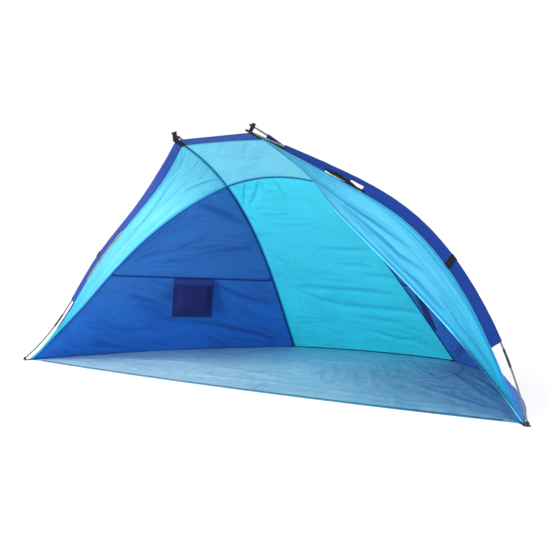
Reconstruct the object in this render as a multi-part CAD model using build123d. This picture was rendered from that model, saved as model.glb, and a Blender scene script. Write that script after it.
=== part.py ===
from build123d import *
import math
import os

# Beach shelter of the shell kind, in millimetres.
# x runs to the right, y to the back and z up.
# The origin is on the ground, midway between the feet of the two front poles.

# Driving dimensions of the frame
foot_span = 2700
peak_span = 420
peak_height = 1065
peak_reach = 30
heel_span = 1018
depth = 1304

# How far each bent line stands off its own straight chord: share of the chord, then x, y and z
front_pole_bend = [(0.2, 57, 169, 66), (0.4, 103, 220, 116), (0.6, 103, 240, 117), (0.8, 60, 152, 69)]
rib_bend = [(0.25, -29, 65, 90), (0.6, -24, 69, 80)]
wing_seam_bend = [(0.3, 14, -12, 22), (0.6, 8, -78, 38), (0.85, 3, -80, 20)]
ridge_rise = 33
floor_side_bow = 120
floor_back_bow = 75
floor_front_bow = 60
side_seam_bow = 55
crossing_share = 0.25

# Fabric and its seams
fabric = 1.2
hem_fabric = 2.4
binding_radius = 3.5
tip_width = 9
hem_width = 63
hem_inset = 9
wall_lift = 3.6
wing_lift = 12
side_seam_front_height = 455
side_seam_rear_height = 411
corner_inset = 30
corner_setback = 40

# Groundsheet
floor_thickness = 1.6
floor_hem_width = 26
floor_hem_thickness = 1.2
floor_hem_end_share = 0.03
floor_hem_setback = 1.3

# Poles
pole_radius = 3.5
pole_joint_gap = 0.6
ferrule_radius = 4.6
ferrule_length = 74
ferrule_play = 0.2
ferrule_places = [0.165, 0.4, 0.62, 0.84]
pole_overhang = 30
cap_radius = 5.2
cap_length = 11
cap_wall = 2.2

# Sleeves
sleeve_width = 40
sleeve_wall = 1.0
sleeve_play = 0.6
sleeve_end_half = 1.8
sleeve_foot_share = 0.225
sleeve_top_left = 0.965
sleeve_top_right = 0.925
wing_foot_gap = 26
sleeve_vents = [(0.69, 0.727), (0.75, 0.79)]
vent_start = 11
vent_end = 33
sleeve_strap_share = 0.42
sleeve_strap_width = 18
sleeve_strap_wall = 1.2
rib_sleeve_width = 26
rib_sleeve_top = 0.045
rib_sleeve_foot = 0.93

# Webbing, tabs and eyelets
webbing_width = 22
webbing = 1.6
strap_back = 34
strap_front = 14
strap_rise = 14
tab_width = 25
tab_overlap = 26
eyelet_radius = 6.5
eyelet_bore = 3.2
eyelet_height = 3.0
pin_radius = 2.6
foot_ball_radius = 7.0

# Pockets, which hang from the cross seams: the left one plumb, the right one against its wall
pocket_middle = 0.523
pocket_width = 222
pocket_height = 205
pocket_mouth = 33
pocket_border = 10
pocket_gusset = 20
pocket_gape = 22
pocket_lean_right = 24
pocket_lean_left = 5

# Fit between neighbours
clearance = 0.3

# Corners of the form, right side
foot = Vector(foot_span / 2, 0, 0)
peak = Vector(peak_span / 2, -peak_reach, peak_height)
heel = Vector(heel_span / 2, depth, 0)
corner = Vector(foot_span / 2 - corner_inset, corner_setback, 0)

# A point well inside the shelter, from which outward directions are taken, and a direction
# that no line of the shelter follows
heart = Vector(0, depth * 0.38, 100)
slant = Vector(0.13, 0.41, 0.9)


def bent(start, end, offsets):
    """A smooth line that leaves its chord by the given offsets."""
    points = [start]
    for share, dx, dy, dz in offsets:
        points.append(start + (end - start) * share + Vector(dx, dy, dz))
    points.append(end)
    return Edge.make_spline(points)


def spot(curve, share):
    """A point at a share of the curve's length, carried on straight past its ends."""
    inside = min(max(share, 0), 1)
    point = curve.position_at(inside)
    if inside == share:
        return point
    return point + curve.tangent_at(inside) * ((share - inside) * curve.length)


def share_at_height(curve, height):
    """The share of a falling or rising curve at which it passes a height."""
    low, high = (0.0, 1.0)
    if spot(curve, 0).Z > spot(curve, 1).Z:
        low, high = (1.0, 0.0)
    for _ in range(30):
        middle = (low + high) / 2
        if spot(curve, middle).Z < height:
            low = middle
        else:
            high = middle
    return (low + high) / 2


def span(low, high, count):
    """Evenly spaced values from low to high, both ends in."""
    return [low + (high - low) * step / (count - 1) for step in range(count)]


def left_of(point):
    """The point's twin on the left side."""
    return Vector(-point.X, point.Y, point.Z)


# Lines of the right side
pole_line = bent(foot, peak, front_pole_bend)
rib_line = bent(peak, heel, rib_bend)
crossing = peak + (heel - peak) * crossing_share + Vector(*rib_bend[0][1:])
wing_seam = bent(corner, crossing, wing_seam_bend)
side_out = (heel - corner).cross(Vector(0, 0, 1)).normalized() * floor_side_bow
floor_side = bent(corner, heel, [(0.5, side_out.X, side_out.Y, 0)])
floor_back = bent(left_of(heel), heel, [(0.5, 0, floor_back_bow, 0)])
floor_front = bent(left_of(corner), corner, [(0.5, 0, -floor_front_bow, 0)])
ridge = bent(left_of(crossing), crossing, [(0.5, 0, 0, ridge_rise)])
front_line = Edge.make_line(left_of(peak), peak)

# Shares where the lines meet
crossing_on_rib = rib_line.param_at_point(crossing)
seam_on_wing = share_at_height(wing_seam, side_seam_front_height)
seam_on_rib = share_at_height(rib_line, side_seam_rear_height)
seam_bow = (spot(wing_seam, seam_on_wing) + spot(rib_line, seam_on_rib)) * 0.5 - heart
seam_bow = Vector(seam_bow.X, seam_bow.Y, 0).normalized() * side_seam_bow
side_seam = bent(spot(wing_seam, seam_on_wing), spot(rib_line, seam_on_rib),
                 [(0.5, seam_bow.X, seam_bow.Y, 0)])


def wing_inset(share):
    """How far the wing's free edge lies from the pole."""
    rise = min(share / sleeve_foot_share, 1)
    return wing_foot_gap + (sleeve_width - wing_foot_gap) * rise


def wing_edge(share):
    """A point on the wing's outer edge, beside the pole."""
    pole = spot(pole_line, share)
    inward = (spot(wing_seam, share) - pole).normalized()
    return pole + inward * wing_inset(share)


def patch(bottom, top, left, right):
    """A surface stretched between four lines that meet at its corners."""
    def surface(u, v):
        flat = bottom(0) * ((1 - u) * (1 - v)) + bottom(1) * (u * (1 - v))
        flat = flat + top(0) * ((1 - u) * v) + top(1) * (u * v)
        return bottom(u) * (1 - v) + top(u) * v + left(v) * (1 - u) + right(v) * u - flat
    return surface


def part_of(curve, start, end):
    """A stretch of a curve as a function that runs from 0 to 1."""
    return lambda share: spot(curve, start + (end - start) * share)


def narrow_end(surface, need):
    """The share at which a tapering surface has reached the width that is needed."""
    for step in range(200):
        if (surface(step / 200, 1) - surface(step / 200, 0)).length >= need:
            return step / 200
    return 1


def squareness(first, second):
    """The sine of the angle between two directions, 1 where one of them has no length."""
    if first.length < 0.01 or second.length < 0.01:
        return 1
    return max(first.cross(second).length / (first.length * second.length), 0.3)


def trimmed(surface, bottom, top, left, right, band=None):
    """The same surface, cut back square to its edges, or a band of it along the bottom edge."""
    step = 0.02
    tip = narrow_end(surface, bottom + top + tip_width)

    def inner(u, v):
        near = max(v - step, 0)
        far = min(v + step, 1)
        length = (surface(1, v) - surface(0, v)).length
        turn = squareness(surface(0, far) - surface(0, near), surface(step, v) - surface(0, v))
        start = max(left / turn / length, tip)
        turn = squareness(surface(1, far) - surface(1, near), surface(1, v) - surface(1 - step, v))
        along = start + (1 - right / turn / length - start) * u
        near = max(along - step, 0)
        far = min(along + step, 1)
        width = (surface(along, 1) - surface(along, 0)).length
        rise = surface(along, step) - surface(along, 0)
        low = bottom / squareness(surface(far, 0) - surface(near, 0), rise) / width
        rise = surface(along, 1) - surface(along, 1 - step)
        high = 1 - top / squareness(surface(far, 1) - surface(near, 1), rise) / width
        if band is not None:
            high = low + band / width
        return surface(along, low + (high - low) * v)
    return inner


def cloth(surface, thickness, outward, columns=13, rows=9):
    """A thin solid that follows a surface and gets its thickness on the outward side."""
    points = [[surface(u, v) for u in span(0, 1, columns)] for v in span(0, 1, rows)]
    face = Face.make_surface_from_array_of_points(points)
    return Solid.thicken(face, thickness, normal_override=outward)


def away(surface):
    """The direction from inside the shelter out through the middle of a surface."""
    return (surface(0.5, 0.5) - heart).normalized()


def rod(curve, radius, start, end, stations=13):
    """A round bar along a stretch of a curve."""
    rings = []
    for share in span(start, end, stations):
        tangent = curve.tangent_at(min(max(share, 0), 1))
        side = tangent.cross(slant).normalized()
        rings.append(Wire(Edge.make_circle(radius, Plane(spot(curve, share), side, tangent))))
    return Solid.make_loft(rings)


def tube(curve, radius, bore, start, end, stations=7):
    """A round tube along a stretch of a curve, open at both ends."""
    more = 2 / curve.length
    return rod(curve, radius, start, end, stations) - rod(curve, bore, start - more, end + more, stations)


def teardrop(origin, inward, tangent, radius, reach, half_end):
    """The outline of a fold of fabric around a pole, flat where it is stitched down."""
    normal = tangent.cross(inward).normalized()
    bulge = radius / squareness(tangent, inward)

    def at(a, n):
        return origin + inward * a + normal * n
    fold = Edge.make_three_point_arc(at(0, radius), at(-bulge, 0), at(0, -radius))
    lower = Edge.make_line(at(0, -radius), at(reach, -half_end))
    stitch = Edge.make_line(at(reach, -half_end), at(reach, half_end))
    upper = Edge.make_line(at(reach, half_end), at(0, radius))
    return Wire([fold, lower, stitch, upper])


def mirrored(shape):
    """The same piece on the left side."""
    return shape.mirror(Plane.YZ)


def save(name, *solids):
    """Writes one piece, whose solids don't touch each other."""
    shape = solids[0] if len(solids) == 1 else Compound(list(solids))
    shape.label = name
    export_step(shape, "parts/" + name + ".step")


def save_pair(name, *solids):
    """Writes a right piece and its mirrored twin on the left."""
    save(name + "_right", *solids)
    save(name + "_left", *[mirrored(solid) for solid in solids])


os.makedirs("parts", exist_ok=True)
edge = binding_radius + clearance

# Groundsheet and its folded front hem
outline = Wire([floor_front, floor_side, floor_back, floor_side.mirror(Plane.YZ)])
groundsheet = extrude(Face(outline), floor_thickness)
if groundsheet.bounding_box().min.Z < -floor_thickness / 2:
    groundsheet = groundsheet.moved(Location((0, 0, floor_thickness)))
save("groundsheet", groundsheet)

front_part = part_of(floor_front, floor_hem_end_share, 1 - floor_hem_end_share)
lifted = Vector(0, 0, floor_thickness + clearance)
near_edge = Vector(0, floor_hem_setback, 0) + lifted
far_edge = Vector(0, floor_hem_width, 0) + lifted
save("groundsheet_front_hem",
     cloth(lambda u, v: front_part(u) + near_edge * (1 - v) + far_edge * v,
           floor_hem_thickness, Vector(0, 0, 1), 17, 3))

# Roof, its front hem and the back wall
rib_roof = part_of(rib_line, 0, crossing_on_rib)
rib_wall = part_of(rib_line, crossing_on_rib, 1)
roof = patch(lambda u: spot(front_line, u), lambda u: spot(ridge, u),
             lambda v: left_of(rib_roof(v)), rib_roof)
save("roof_panel", cloth(trimmed(roof, hem_width + clearance, edge, edge, edge), fabric, away(roof)))
save("roof_front_hem",
     cloth(trimmed(roof, 0, 0, hem_inset, hem_inset, hem_width), hem_fabric, away(roof), 9, 3))

back = patch(lambda u: spot(floor_back, u), lambda u: spot(ridge, u),
             lambda v: left_of(rib_wall(1 - v)), lambda v: rib_wall(1 - v))
save("back_wall", cloth(trimmed(back, wall_lift, edge, edge, edge), fabric, away(back), 13, 13))

# Side walls, split at the cross seam that carries the pocket
upper = patch(lambda u: spot(side_seam, u), part_of(wing_seam, seam_on_wing, 1),
              lambda v: spot(side_seam, 0), part_of(rib_line, seam_on_rib, crossing_on_rib))
lower = patch(lambda u: spot(floor_side, u), lambda u: spot(side_seam, u),
              part_of(wing_seam, 0, seam_on_wing), part_of(rib_line, 1, seam_on_rib))
save_pair("side_wall_upper", cloth(trimmed(upper, edge, edge, edge, edge), fabric, away(upper)))
save_pair("side_wall_lower", cloth(trimmed(lower, wall_lift, edge, edge, edge), fabric, away(lower)))

# Wings between the side walls and the front poles
wing = patch(wing_edge, lambda u: spot(wing_seam, u),
             lambda v: wing_edge(0) + (corner - wing_edge(0)) * v,
             lambda v: wing_edge(1) + (crossing - wing_edge(1)) * v)
save_pair("wing", cloth(trimmed(wing, clearance, edge, wing_lift, edge), fabric, away(wing), 19, 7))

# Bindings over the seams
trim = binding_radius * 4
save_pair("rib_binding",
          rod(rib_line, binding_radius, trim / rib_line.length, crossing_on_rib - trim / rib_line.length, 7),
          rod(rib_line, binding_radius, crossing_on_rib + trim / rib_line.length,
              1 - trim / rib_line.length, 13))
save("ridge_binding", rod(ridge, binding_radius, trim / ridge.length, 1 - trim / ridge.length, 9))
save_pair("wing_binding",
          rod(wing_seam, binding_radius, trim / wing_seam.length, 1 - trim / wing_seam.length, 17))
save_pair("side_seam_tape",
          rod(side_seam, binding_radius, trim / side_seam.length, 1 - trim / side_seam.length, 9))

# Front sleeves around the front poles
sleeve_radius = ferrule_radius + sleeve_play + sleeve_wall


def sleeve_body(start, end, radius, reach, half_end, stations=15):
    """The filled form of a front sleeve over a stretch of its pole."""
    outlines = []
    for share in span(start, end, stations):
        origin = spot(pole_line, share)
        inward = (spot(wing_seam, share) - origin).normalized()
        tangent = pole_line.tangent_at(min(share, 1))
        outlines.append(teardrop(origin, inward, tangent, radius, reach, half_end))
    return Solid.make_loft(outlines)


def front_sleeve(top_share):
    """A sleeve that is open at both ends."""
    more = 2 / pole_line.length
    skin = sleeve_body(sleeve_foot_share, top_share, sleeve_radius, sleeve_width - clearance, sleeve_end_half)
    hollow = sleeve_body(sleeve_foot_share - more, top_share + more, sleeve_radius - sleeve_wall,
                         sleeve_width - clearance - sleeve_wall * 2, sleeve_end_half - sleeve_wall)
    return skin - hollow


def sleeve_strap():
    """The short band of webbing wrapped around a front sleeve."""
    half = sleeve_strap_width / 2 / pole_line.length
    more = 2 / pole_line.length
    start = sleeve_strap_share - half
    end = sleeve_strap_share + half
    bore = sleeve_radius + clearance
    skin = sleeve_body(start, end, bore + sleeve_strap_wall, sleeve_width - clearance * 2,
                       sleeve_end_half + clearance + sleeve_strap_wall, 3)
    hollow = sleeve_body(start - more, end + more, bore, sleeve_width + 2, sleeve_end_half + clearance, 3)
    return skin - hollow


def vent(start, end):
    """What is cut out of a sleeve where it is left open beside the pole."""
    outlines = []
    for share in span(start, end, 3):
        origin = spot(pole_line, share)
        inward = (spot(wing_seam, share) - origin).normalized()
        normal = pole_line.tangent_at(share).cross(inward).normalized()
        low = origin + inward * vent_start
        high = origin + inward * vent_end
        rise = normal * (sleeve_radius * 2)
        outlines.append(Wire.make_polygon([low - rise, high - rise, high + rise, low + rise]))
    return Solid.make_loft(outlines, ruled=True)


right_sleeve = front_sleeve(sleeve_top_right)
for vent_shares in sleeve_vents:
    right_sleeve = right_sleeve - vent(*vent_shares)
save("front_sleeve_right", right_sleeve)
save("front_sleeve_left", mirrored(front_sleeve(sleeve_top_left)))
save_pair("sleeve_strap", sleeve_strap())

# Rear poles stand on the outside of the ribs, in sleeves of their own
rib_stand = binding_radius + rib_sleeve_width - sleeve_radius


def rib_outward(share):
    """The direction square to the rib that points away from the inside."""
    point = spot(rib_line, share)
    tangent = rib_line.tangent_at(min(max(share, 0), 1))
    out = point - heart
    return (out - tangent * out.dot(tangent)).normalized()


rear_points = [spot(rib_line, share) + rib_outward(share) * rib_stand for share in span(0, 1, 9)]
rear_line = Edge.make_spline(rear_points)


def rib_sleeve_body(start, end, radius, reach, half_end, stations=15):
    """The filled form of a rib sleeve over a stretch of the rear pole."""
    outlines = []
    for share in span(start, end, stations):
        origin = spot(rear_line, share)
        tangent = rear_line.tangent_at(share)
        inward = rib_outward(share) * -1
        inward = (inward - tangent * inward.dot(tangent)).normalized()
        outlines.append(teardrop(origin, inward, tangent, radius, reach, half_end))
    return Solid.make_loft(outlines)


more = 2 / rear_line.length
rib_reach = rib_stand - binding_radius - clearance
rib_skin = rib_sleeve_body(rib_sleeve_top, rib_sleeve_foot, sleeve_radius, rib_reach, sleeve_end_half)
rib_hollow = rib_sleeve_body(rib_sleeve_top - more, rib_sleeve_foot + more, sleeve_radius - sleeve_wall,
                             rib_reach - sleeve_wall * 2, sleeve_end_half - sleeve_wall)
save_pair("rib_sleeve", rib_skin - rib_hollow)


def pole(curve, start, end):
    """A pole in parts that meet inside their ferrules."""
    cuts = [start] + [place for place in ferrule_places if start < place < end] + [end]
    half = pole_joint_gap / 2 / curve.length
    parts = []
    for low, high in zip(cuts, cuts[1:]):
        parts.append(rod(curve, pole_radius, low + (half if low > start else 0),
                         high - (half if high < end else 0), 9))
    return parts


def ferrules(curve):
    """The tubes that join the parts of a pole."""
    half = ferrule_length / 2 / curve.length
    return [tube(curve, ferrule_radius, pole_radius + ferrule_play, place - half, place + half, 5)
            for place in ferrule_places]


def cap(curve, end_share, sign):
    """The plastic cup over the end of a pole."""
    length = cap_length / curve.length
    wall = cap_wall / curve.length
    outer = rod(curve, cap_radius, end_share + sign * wall, end_share - sign * length, 3)
    bore = rod(curve, pole_radius + ferrule_play, end_share + sign * ferrule_play / curve.length,
               end_share - sign * (length + wall), 3)
    return outer - bore


eyelet_top = floor_thickness + clearance + webbing / 2 + eyelet_height / 2
ball_height = eyelet_top + clearance + foot_ball_radius
front_start = share_at_height(pole_line, ball_height)
front_end = 1 + pole_overhang / pole_line.length
rear_start = -pole_overhang / rear_line.length
rear_end = share_at_height(rear_line, ball_height)
save_pair("front_pole", *pole(pole_line, front_start, front_end))
save_pair("rear_pole", *pole(rear_line, rear_start, rear_end))
save_pair("front_ferrules", *ferrules(pole_line))
save_pair("rear_ferrules", *ferrules(rear_line))
save_pair("front_pole_cap", cap(pole_line, front_end, 1))
save_pair("rear_pole_cap", cap(rear_line, rear_start, -1))


def foot_pin(curve, share, sign):
    """The ball and pin at the foot of a pole, bored for the pole's end."""
    centre = spot(curve, share)
    ball = Solid.make_sphere(foot_ball_radius).moved(Location(centre))
    pin = Solid.make_cylinder(pin_radius, centre.Z, Plane((centre.X, centre.Y, 0)))
    bore = rod(curve, pole_radius + ferrule_play, share - sign * clearance / curve.length,
               share + sign * foot_ball_radius * 2 / curve.length, 3)
    return ball + pin - bore


def corner_tab(hole, sheet_corner):
    """The webbing tab that ties a corner of the groundsheet to a pole's foot."""
    way = Vector(sheet_corner.X - hole.X, sheet_corner.Y - hole.Y, 0)
    length = way.length + tab_overlap
    base = Vector(hole.X, hole.Y, floor_thickness + clearance)
    plane = Plane(base, way.normalized(), Vector(0, 0, 1))
    strip = Solid.make_box(length, tab_width, webbing, Plane(plane.from_local_coords(
        Vector(0, -tab_width / 2, 0)), plane.x_dir, plane.z_dir))
    rounded = Solid.make_cylinder(tab_width / 2, webbing, plane)
    hole_cut = Solid.make_cylinder(eyelet_radius + clearance, webbing * 3,
                                   Plane(base - Vector(0, 0, webbing)))
    return strip + rounded - hole_cut


def eyelet(hole):
    """The metal ring in a corner tab."""
    plane = Plane((hole.X, hole.Y, eyelet_top - eyelet_height))
    ring = Solid.make_cylinder(eyelet_radius, eyelet_height, plane)
    return ring - Solid.make_cylinder(eyelet_bore, eyelet_height, plane)


front_hole = spot(pole_line, front_start)
rear_hole = spot(rear_line, rear_end)
save_pair("front_foot_pin", foot_pin(pole_line, front_start, 1))
save_pair("rear_foot_pin", foot_pin(rear_line, rear_end, -1))
save_pair("front_corner_tab", corner_tab(front_hole, corner))
save_pair("rear_corner_tab", corner_tab(rear_hole, heel))
rings = [eyelet(front_hole), eyelet(rear_hole)]
save("corner_eyelets", *rings, *[mirrored(ring) for ring in rings])


def peak_strap():
    """The webbing under the roof's corner, turned up at the front and pierced by the rear pole."""
    forward = rib_line.tangent_at(0) * -1
    rise = rib_outward(0)
    low = -(pole_radius + clearance * 6 + webbing)
    high = rib_stand + strap_rise
    plane = Plane(peak, forward, forward.cross(rise))
    corners = [(-strap_back, low), (strap_front + webbing, low), (strap_front + webbing, high),
               (strap_front, high), (strap_front, low + webbing), (-strap_back, low + webbing)]
    loop = Wire.make_polygon([plane.from_local_coords(Vector(a, n, 0)) for a, n in corners])
    strip = Solid.extrude(Face(loop), plane.z_dir * webbing_width)
    strip = strip.moved(Location(plane.z_dir * (-webbing_width / 2)))
    hole = rod(rear_line, pole_radius + clearance, rear_start, 0, 3)
    return strip - hole


save_pair("peak_strap", peak_strap())


def pocket_plane(lean):
    """The pocket's own plane: its origin under the seam, x along it, y up and z to the inside."""
    half = pocket_width / 2 / side_seam.length
    start = spot(side_seam, pocket_middle - half)
    end = spot(side_seam, pocket_middle + half)
    middle = (start + end) * 0.5
    bow = (spot(side_seam, pocket_middle) - middle).length
    along = (start - end).normalized()
    inward = along.cross(Vector(0, 0, 1)).normalized().rotate(Axis((0, 0, 0), along), lean)
    up = inward.cross(along)
    return Plane(middle - up * (edge + bow * math.sin(math.radians(lean)) / 2), along, inward)


def pocket_sheet(plane):
    """The flat cloth that hangs from the seam and carries the pocket."""
    low = plane.from_local_coords(Vector(-pocket_width / 2, -pocket_height, 0))
    return Solid.make_box(pocket_width, pocket_height, fabric, Plane(low, plane.x_dir, plane.z_dir))


def frustum(plane, mouth, floor_level, crest_level):
    """A block whose sides and bottom slant in by the gusset, and whose mouth side is upright."""
    half = pocket_width / 2 - pocket_border
    low = pocket_border - pocket_height
    rings = []
    for level, taper in ((floor_level, 0), (crest_level, pocket_gusset)):
        ring = [(-half + taper, low + taper), (half - taper, low + taper),
                (half - taper, mouth), (-half + taper, mouth)]
        rings.append(Wire.make_polygon([plane.from_local_coords(Vector(x, y, level)) for x, y in ring]))
    return Solid.make_loft(rings, ruled=True)


def pouch(plane):
    """The front of the pocket: a stitched border and a box that gapes, open at its mouth."""
    seat = fabric + clearance
    crest = seat + pocket_gape
    low = plane.from_local_coords(Vector(-pocket_width / 2, -pocket_height, seat))
    border = Solid.make_box(pocket_width, pocket_height - pocket_mouth, fabric,
                            Plane(low, plane.x_dir, plane.z_dir))
    skin = frustum(plane, -pocket_mouth, seat, crest)
    hollow = frustum(plane, fabric * 2 - pocket_mouth, seat - fabric, crest - fabric)
    return border + skin - hollow


right_plane = pocket_plane(pocket_lean_right)
left_plane = pocket_plane(pocket_lean_left)
save("pocket_sheet_right", pocket_sheet(right_plane))
save("pocket_sheet_left", mirrored(pocket_sheet(left_plane)))
save("pocket_right", pouch(right_plane))
save("pocket_left", mirrored(pouch(left_plane)))
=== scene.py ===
# %% [markdown]
# This lesson dresses a beach shelter of the shell kind. Four bent poles hold up a fabric dome
# with an open front. The poles, joints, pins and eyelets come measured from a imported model, and
# the fabric is made here over the lines that those rigid pieces give. The fabric could also be
# dropped over the poles in a simulation, but every panel of a shelter is cut to its place and
# pulled tight, so panels that are built between their seams come out truer and the same each
# time. Everything is in metres, with x to the right, y to the back and z up, and the origin
# between the two front feet.

import bmesh
import bpy
import numpy as np
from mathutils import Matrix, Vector, noise


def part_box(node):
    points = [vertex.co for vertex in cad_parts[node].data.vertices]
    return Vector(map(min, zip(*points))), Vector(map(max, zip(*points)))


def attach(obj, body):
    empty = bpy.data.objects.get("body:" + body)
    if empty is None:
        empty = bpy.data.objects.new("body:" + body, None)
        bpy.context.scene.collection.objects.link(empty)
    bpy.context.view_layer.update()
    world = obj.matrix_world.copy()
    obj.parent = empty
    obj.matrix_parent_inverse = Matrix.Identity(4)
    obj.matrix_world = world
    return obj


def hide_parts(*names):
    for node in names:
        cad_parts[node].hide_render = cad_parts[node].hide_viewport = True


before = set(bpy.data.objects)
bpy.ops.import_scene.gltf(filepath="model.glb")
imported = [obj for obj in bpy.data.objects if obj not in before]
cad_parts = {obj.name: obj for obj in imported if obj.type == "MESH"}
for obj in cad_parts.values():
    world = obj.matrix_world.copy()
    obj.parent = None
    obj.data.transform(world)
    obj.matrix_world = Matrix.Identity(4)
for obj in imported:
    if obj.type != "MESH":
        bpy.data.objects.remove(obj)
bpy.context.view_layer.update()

print("nodes in the frame:", len(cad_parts))

# %% [markdown]
# Fabric is sewn to lines: the poles, the seams over the ribs, the ridge and the edge of the
# floor. The measured model already holds them as thin rods, so the first job is to find the
# middle of a rod. A plane square to the rod's chord cuts it in a small ellipse, and the middle
# of that ellipse's box is a point of the line. Forty such cuts and a smooth curve give it all.

# %% A smooth line through points
def unit(vectors):
    """Vectors of length one."""
    return vectors / np.maximum(np.linalg.norm(vectors, axis=-1, keepdims=True), 1e-9)


def smooth_values(run, values, wanted):
    """Values between the given ones, on a curve whose slope never jumps."""
    slopes = np.gradient(values, run)
    first = np.clip(np.searchsorted(run, wanted) - 1, 0, len(run) - 2)
    width = run[first + 1] - run[first]
    part = (wanted - run[first]) / width
    rise = values[first + 1] - values[first]
    bend = (1 - part) * (slopes[first] * width - rise) - part * (slopes[first + 1] * width - rise)
    return values[first] + part * rise + part * (1 - part) * bend


class Line:
    """A smooth line. A share from 0 to 1 runs along its length and may pass its ends."""

    def __init__(self, points, samples=500):
        knots = np.array(points, dtype=float)
        run = np.concatenate([[0], np.cumsum(np.linalg.norm(np.diff(knots, axis=0), axis=1))])
        wanted = np.linspace(0, run[-1], samples)
        self.points = np.stack([smooth_values(run, knots[:, i], wanted) for i in range(3)], axis=1)
        steps = np.linalg.norm(np.diff(self.points, axis=0), axis=1)
        self.run = np.concatenate([[0], np.cumsum(steps)])
        self.length = self.run[-1]
        self.run /= self.length

    def at(self, share):
        """The point, or points, at a share of the length."""
        share = np.asarray(share, dtype=float)
        inside = np.clip(share, 0, 1)
        spots = np.stack([np.interp(inside, self.run, self.points[:, i]) for i in range(3)], axis=-1)
        begin = (self.points[1] - self.points[0]) / (self.run[1] - self.run[0])
        finish = (self.points[-1] - self.points[-2]) / (self.run[-1] - self.run[-2])
        before = np.minimum(share, 0)[..., None] * begin
        after = np.maximum(share - 1, 0)[..., None] * finish
        return spots + before + after

    def along(self, share):
        """The direction of the line at a share."""
        step = 0.01
        return unit(self.at(np.asarray(share) + step) - self.at(np.asarray(share) - step))

    def part(self, start, end):
        """A stretch of the line as a function from 0 to 1."""
        return lambda share: self.at(start + (end - start) * np.asarray(share, dtype=float))


# %% Read the middle of a rod
def node_spots(node):
    """The corners of a node's mesh as rows of x, y and z."""
    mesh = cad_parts[node].data
    spots = np.empty(len(mesh.vertices) * 3)
    mesh.vertices.foreach_get("co", spots)
    return spots.reshape(-1, 3)


def rod_middle(node, axis, stations=41):
    """The middle points of a rod, from its low end to its high end along an axis."""
    spots = node_spots(node)
    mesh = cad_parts[node].data
    edges = np.empty(len(mesh.edges) * 2, dtype=np.int64)
    mesh.edges.foreach_get("vertices", edges)
    first, second = spots[edges[0::2]], spots[edges[1::2]]
    near, fewest_crossings = 0.002, 6
    start = spots[spots[:, axis] < spots[:, axis].min() + near].mean(axis=0)
    end = spots[spots[:, axis] > spots[:, axis].max() - near].mean(axis=0)
    chord = end - start
    middles = []
    for share in np.linspace(0.01, 0.99, stations):
        place = start + chord * share
        low, high = (first - place) @ chord, (second - place) @ chord
        crossed = (low < 0) != (high < 0)
        if crossed.sum() >= fewest_crossings:
            part = low[crossed] / (low[crossed] - high[crossed])
            ring = first[crossed] + (second[crossed] - first[crossed]) * part[:, None]
            middles.append((ring.min(axis=0) + ring.max(axis=0)) / 2)
    return middles


def to_ground(points):
    """A rising row of points carried on straight down to the ground."""
    first, second = points[0], points[1]
    return first + (second - first) * (first[2] / (first[2] - second[2]))


def meeting(points, others):
    """Where two rows of points, carried on straight past their last ones, come closest."""
    start, way = points[-1], points[-1] - points[-2]
    other, turn = others[-1], others[-1] - others[-2]
    gap = other - start
    sums = np.array([[way @ way, -way @ turn], [way @ turn, -turn @ turn]])
    far = np.linalg.solve(sums, [gap @ way, gap @ turn])
    return (start + way * far[0] + other + turn * far[1]) / 2


X, Y, Z = 0, 1, 2
mirror = np.array([-1, 1, 1])
pole_points = rod_middle("front_pole_right", Z)
rib_points = rod_middle("rib_binding_right", Z)
wing_points = rod_middle("wing_binding_right", Z)
rear_points = rod_middle("rear_pole_right", Z)
ridge_points = rod_middle("ridge_binding", X)
seam_points = rod_middle("side_seam_tape_right", Y)
foot, heel, corner = to_ground(pole_points), to_ground(rib_points), to_ground(wing_points)
peak = meeting(rib_points, pole_points)
crossing = meeting(ridge_points, wing_points)
named_places = {"foot": foot, "heel": heel, "corner": corner, "peak": peak, "crossing": crossing}
for label, place in named_places.items():
    print(label, place.round(4))

# %% [markdown]
# The rods end where their solids end, so each line is carried on to the place where the real
# seams meet: the ground, the peak, or the crossing of ridge and rib. The left side is the
# mirror of the right, and only the right one is read.

# %% Lines of the shelter
below_peak = [point for point in pole_points if point[2] < peak[2] - 0.01]
pole_line = Line([foot] + below_peak + [peak])
rib_line = Line([peak] + rib_points[::-1] + [heel])
wing_seam = Line([corner] + wing_points + [crossing])
ridge = Line([crossing * mirror] + ridge_points + [crossing])
rear_line = Line(rear_points[::-1])
heart = np.array([0, heel[1] * 0.38, 0.1])


def nearest_share(line, point):
    """The share at which a line passes closest to a point."""
    shares = np.linspace(0, 1, 2001)
    return float(shares[np.linalg.norm(line.at(shares) - point, axis=1).argmin()])


def reach(node, line):
    """The first and last share of a line that a node's mesh comes to."""
    spots = node_spots(node)[::7]
    shares = np.linspace(0, 1, 801)
    gaps = np.linalg.norm(spots[:, None] - line.at(shares)[None], axis=2)
    nearest = shares[gaps.argmin(axis=1)]
    return float(nearest.min()), float(nearest.max())


crossing_on_rib = nearest_share(rib_line, crossing)
seam_on_wing = nearest_share(wing_seam, seam_points[0])
seam_on_rib = nearest_share(rib_line, seam_points[-1])
side_seam = Line([wing_seam.at(seam_on_wing)] + seam_points[1:-1] + [rib_line.at(seam_on_rib)])
print("shares of the joints", [round(value, 3) for value in (crossing_on_rib, seam_on_wing, seam_on_rib)])


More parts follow.
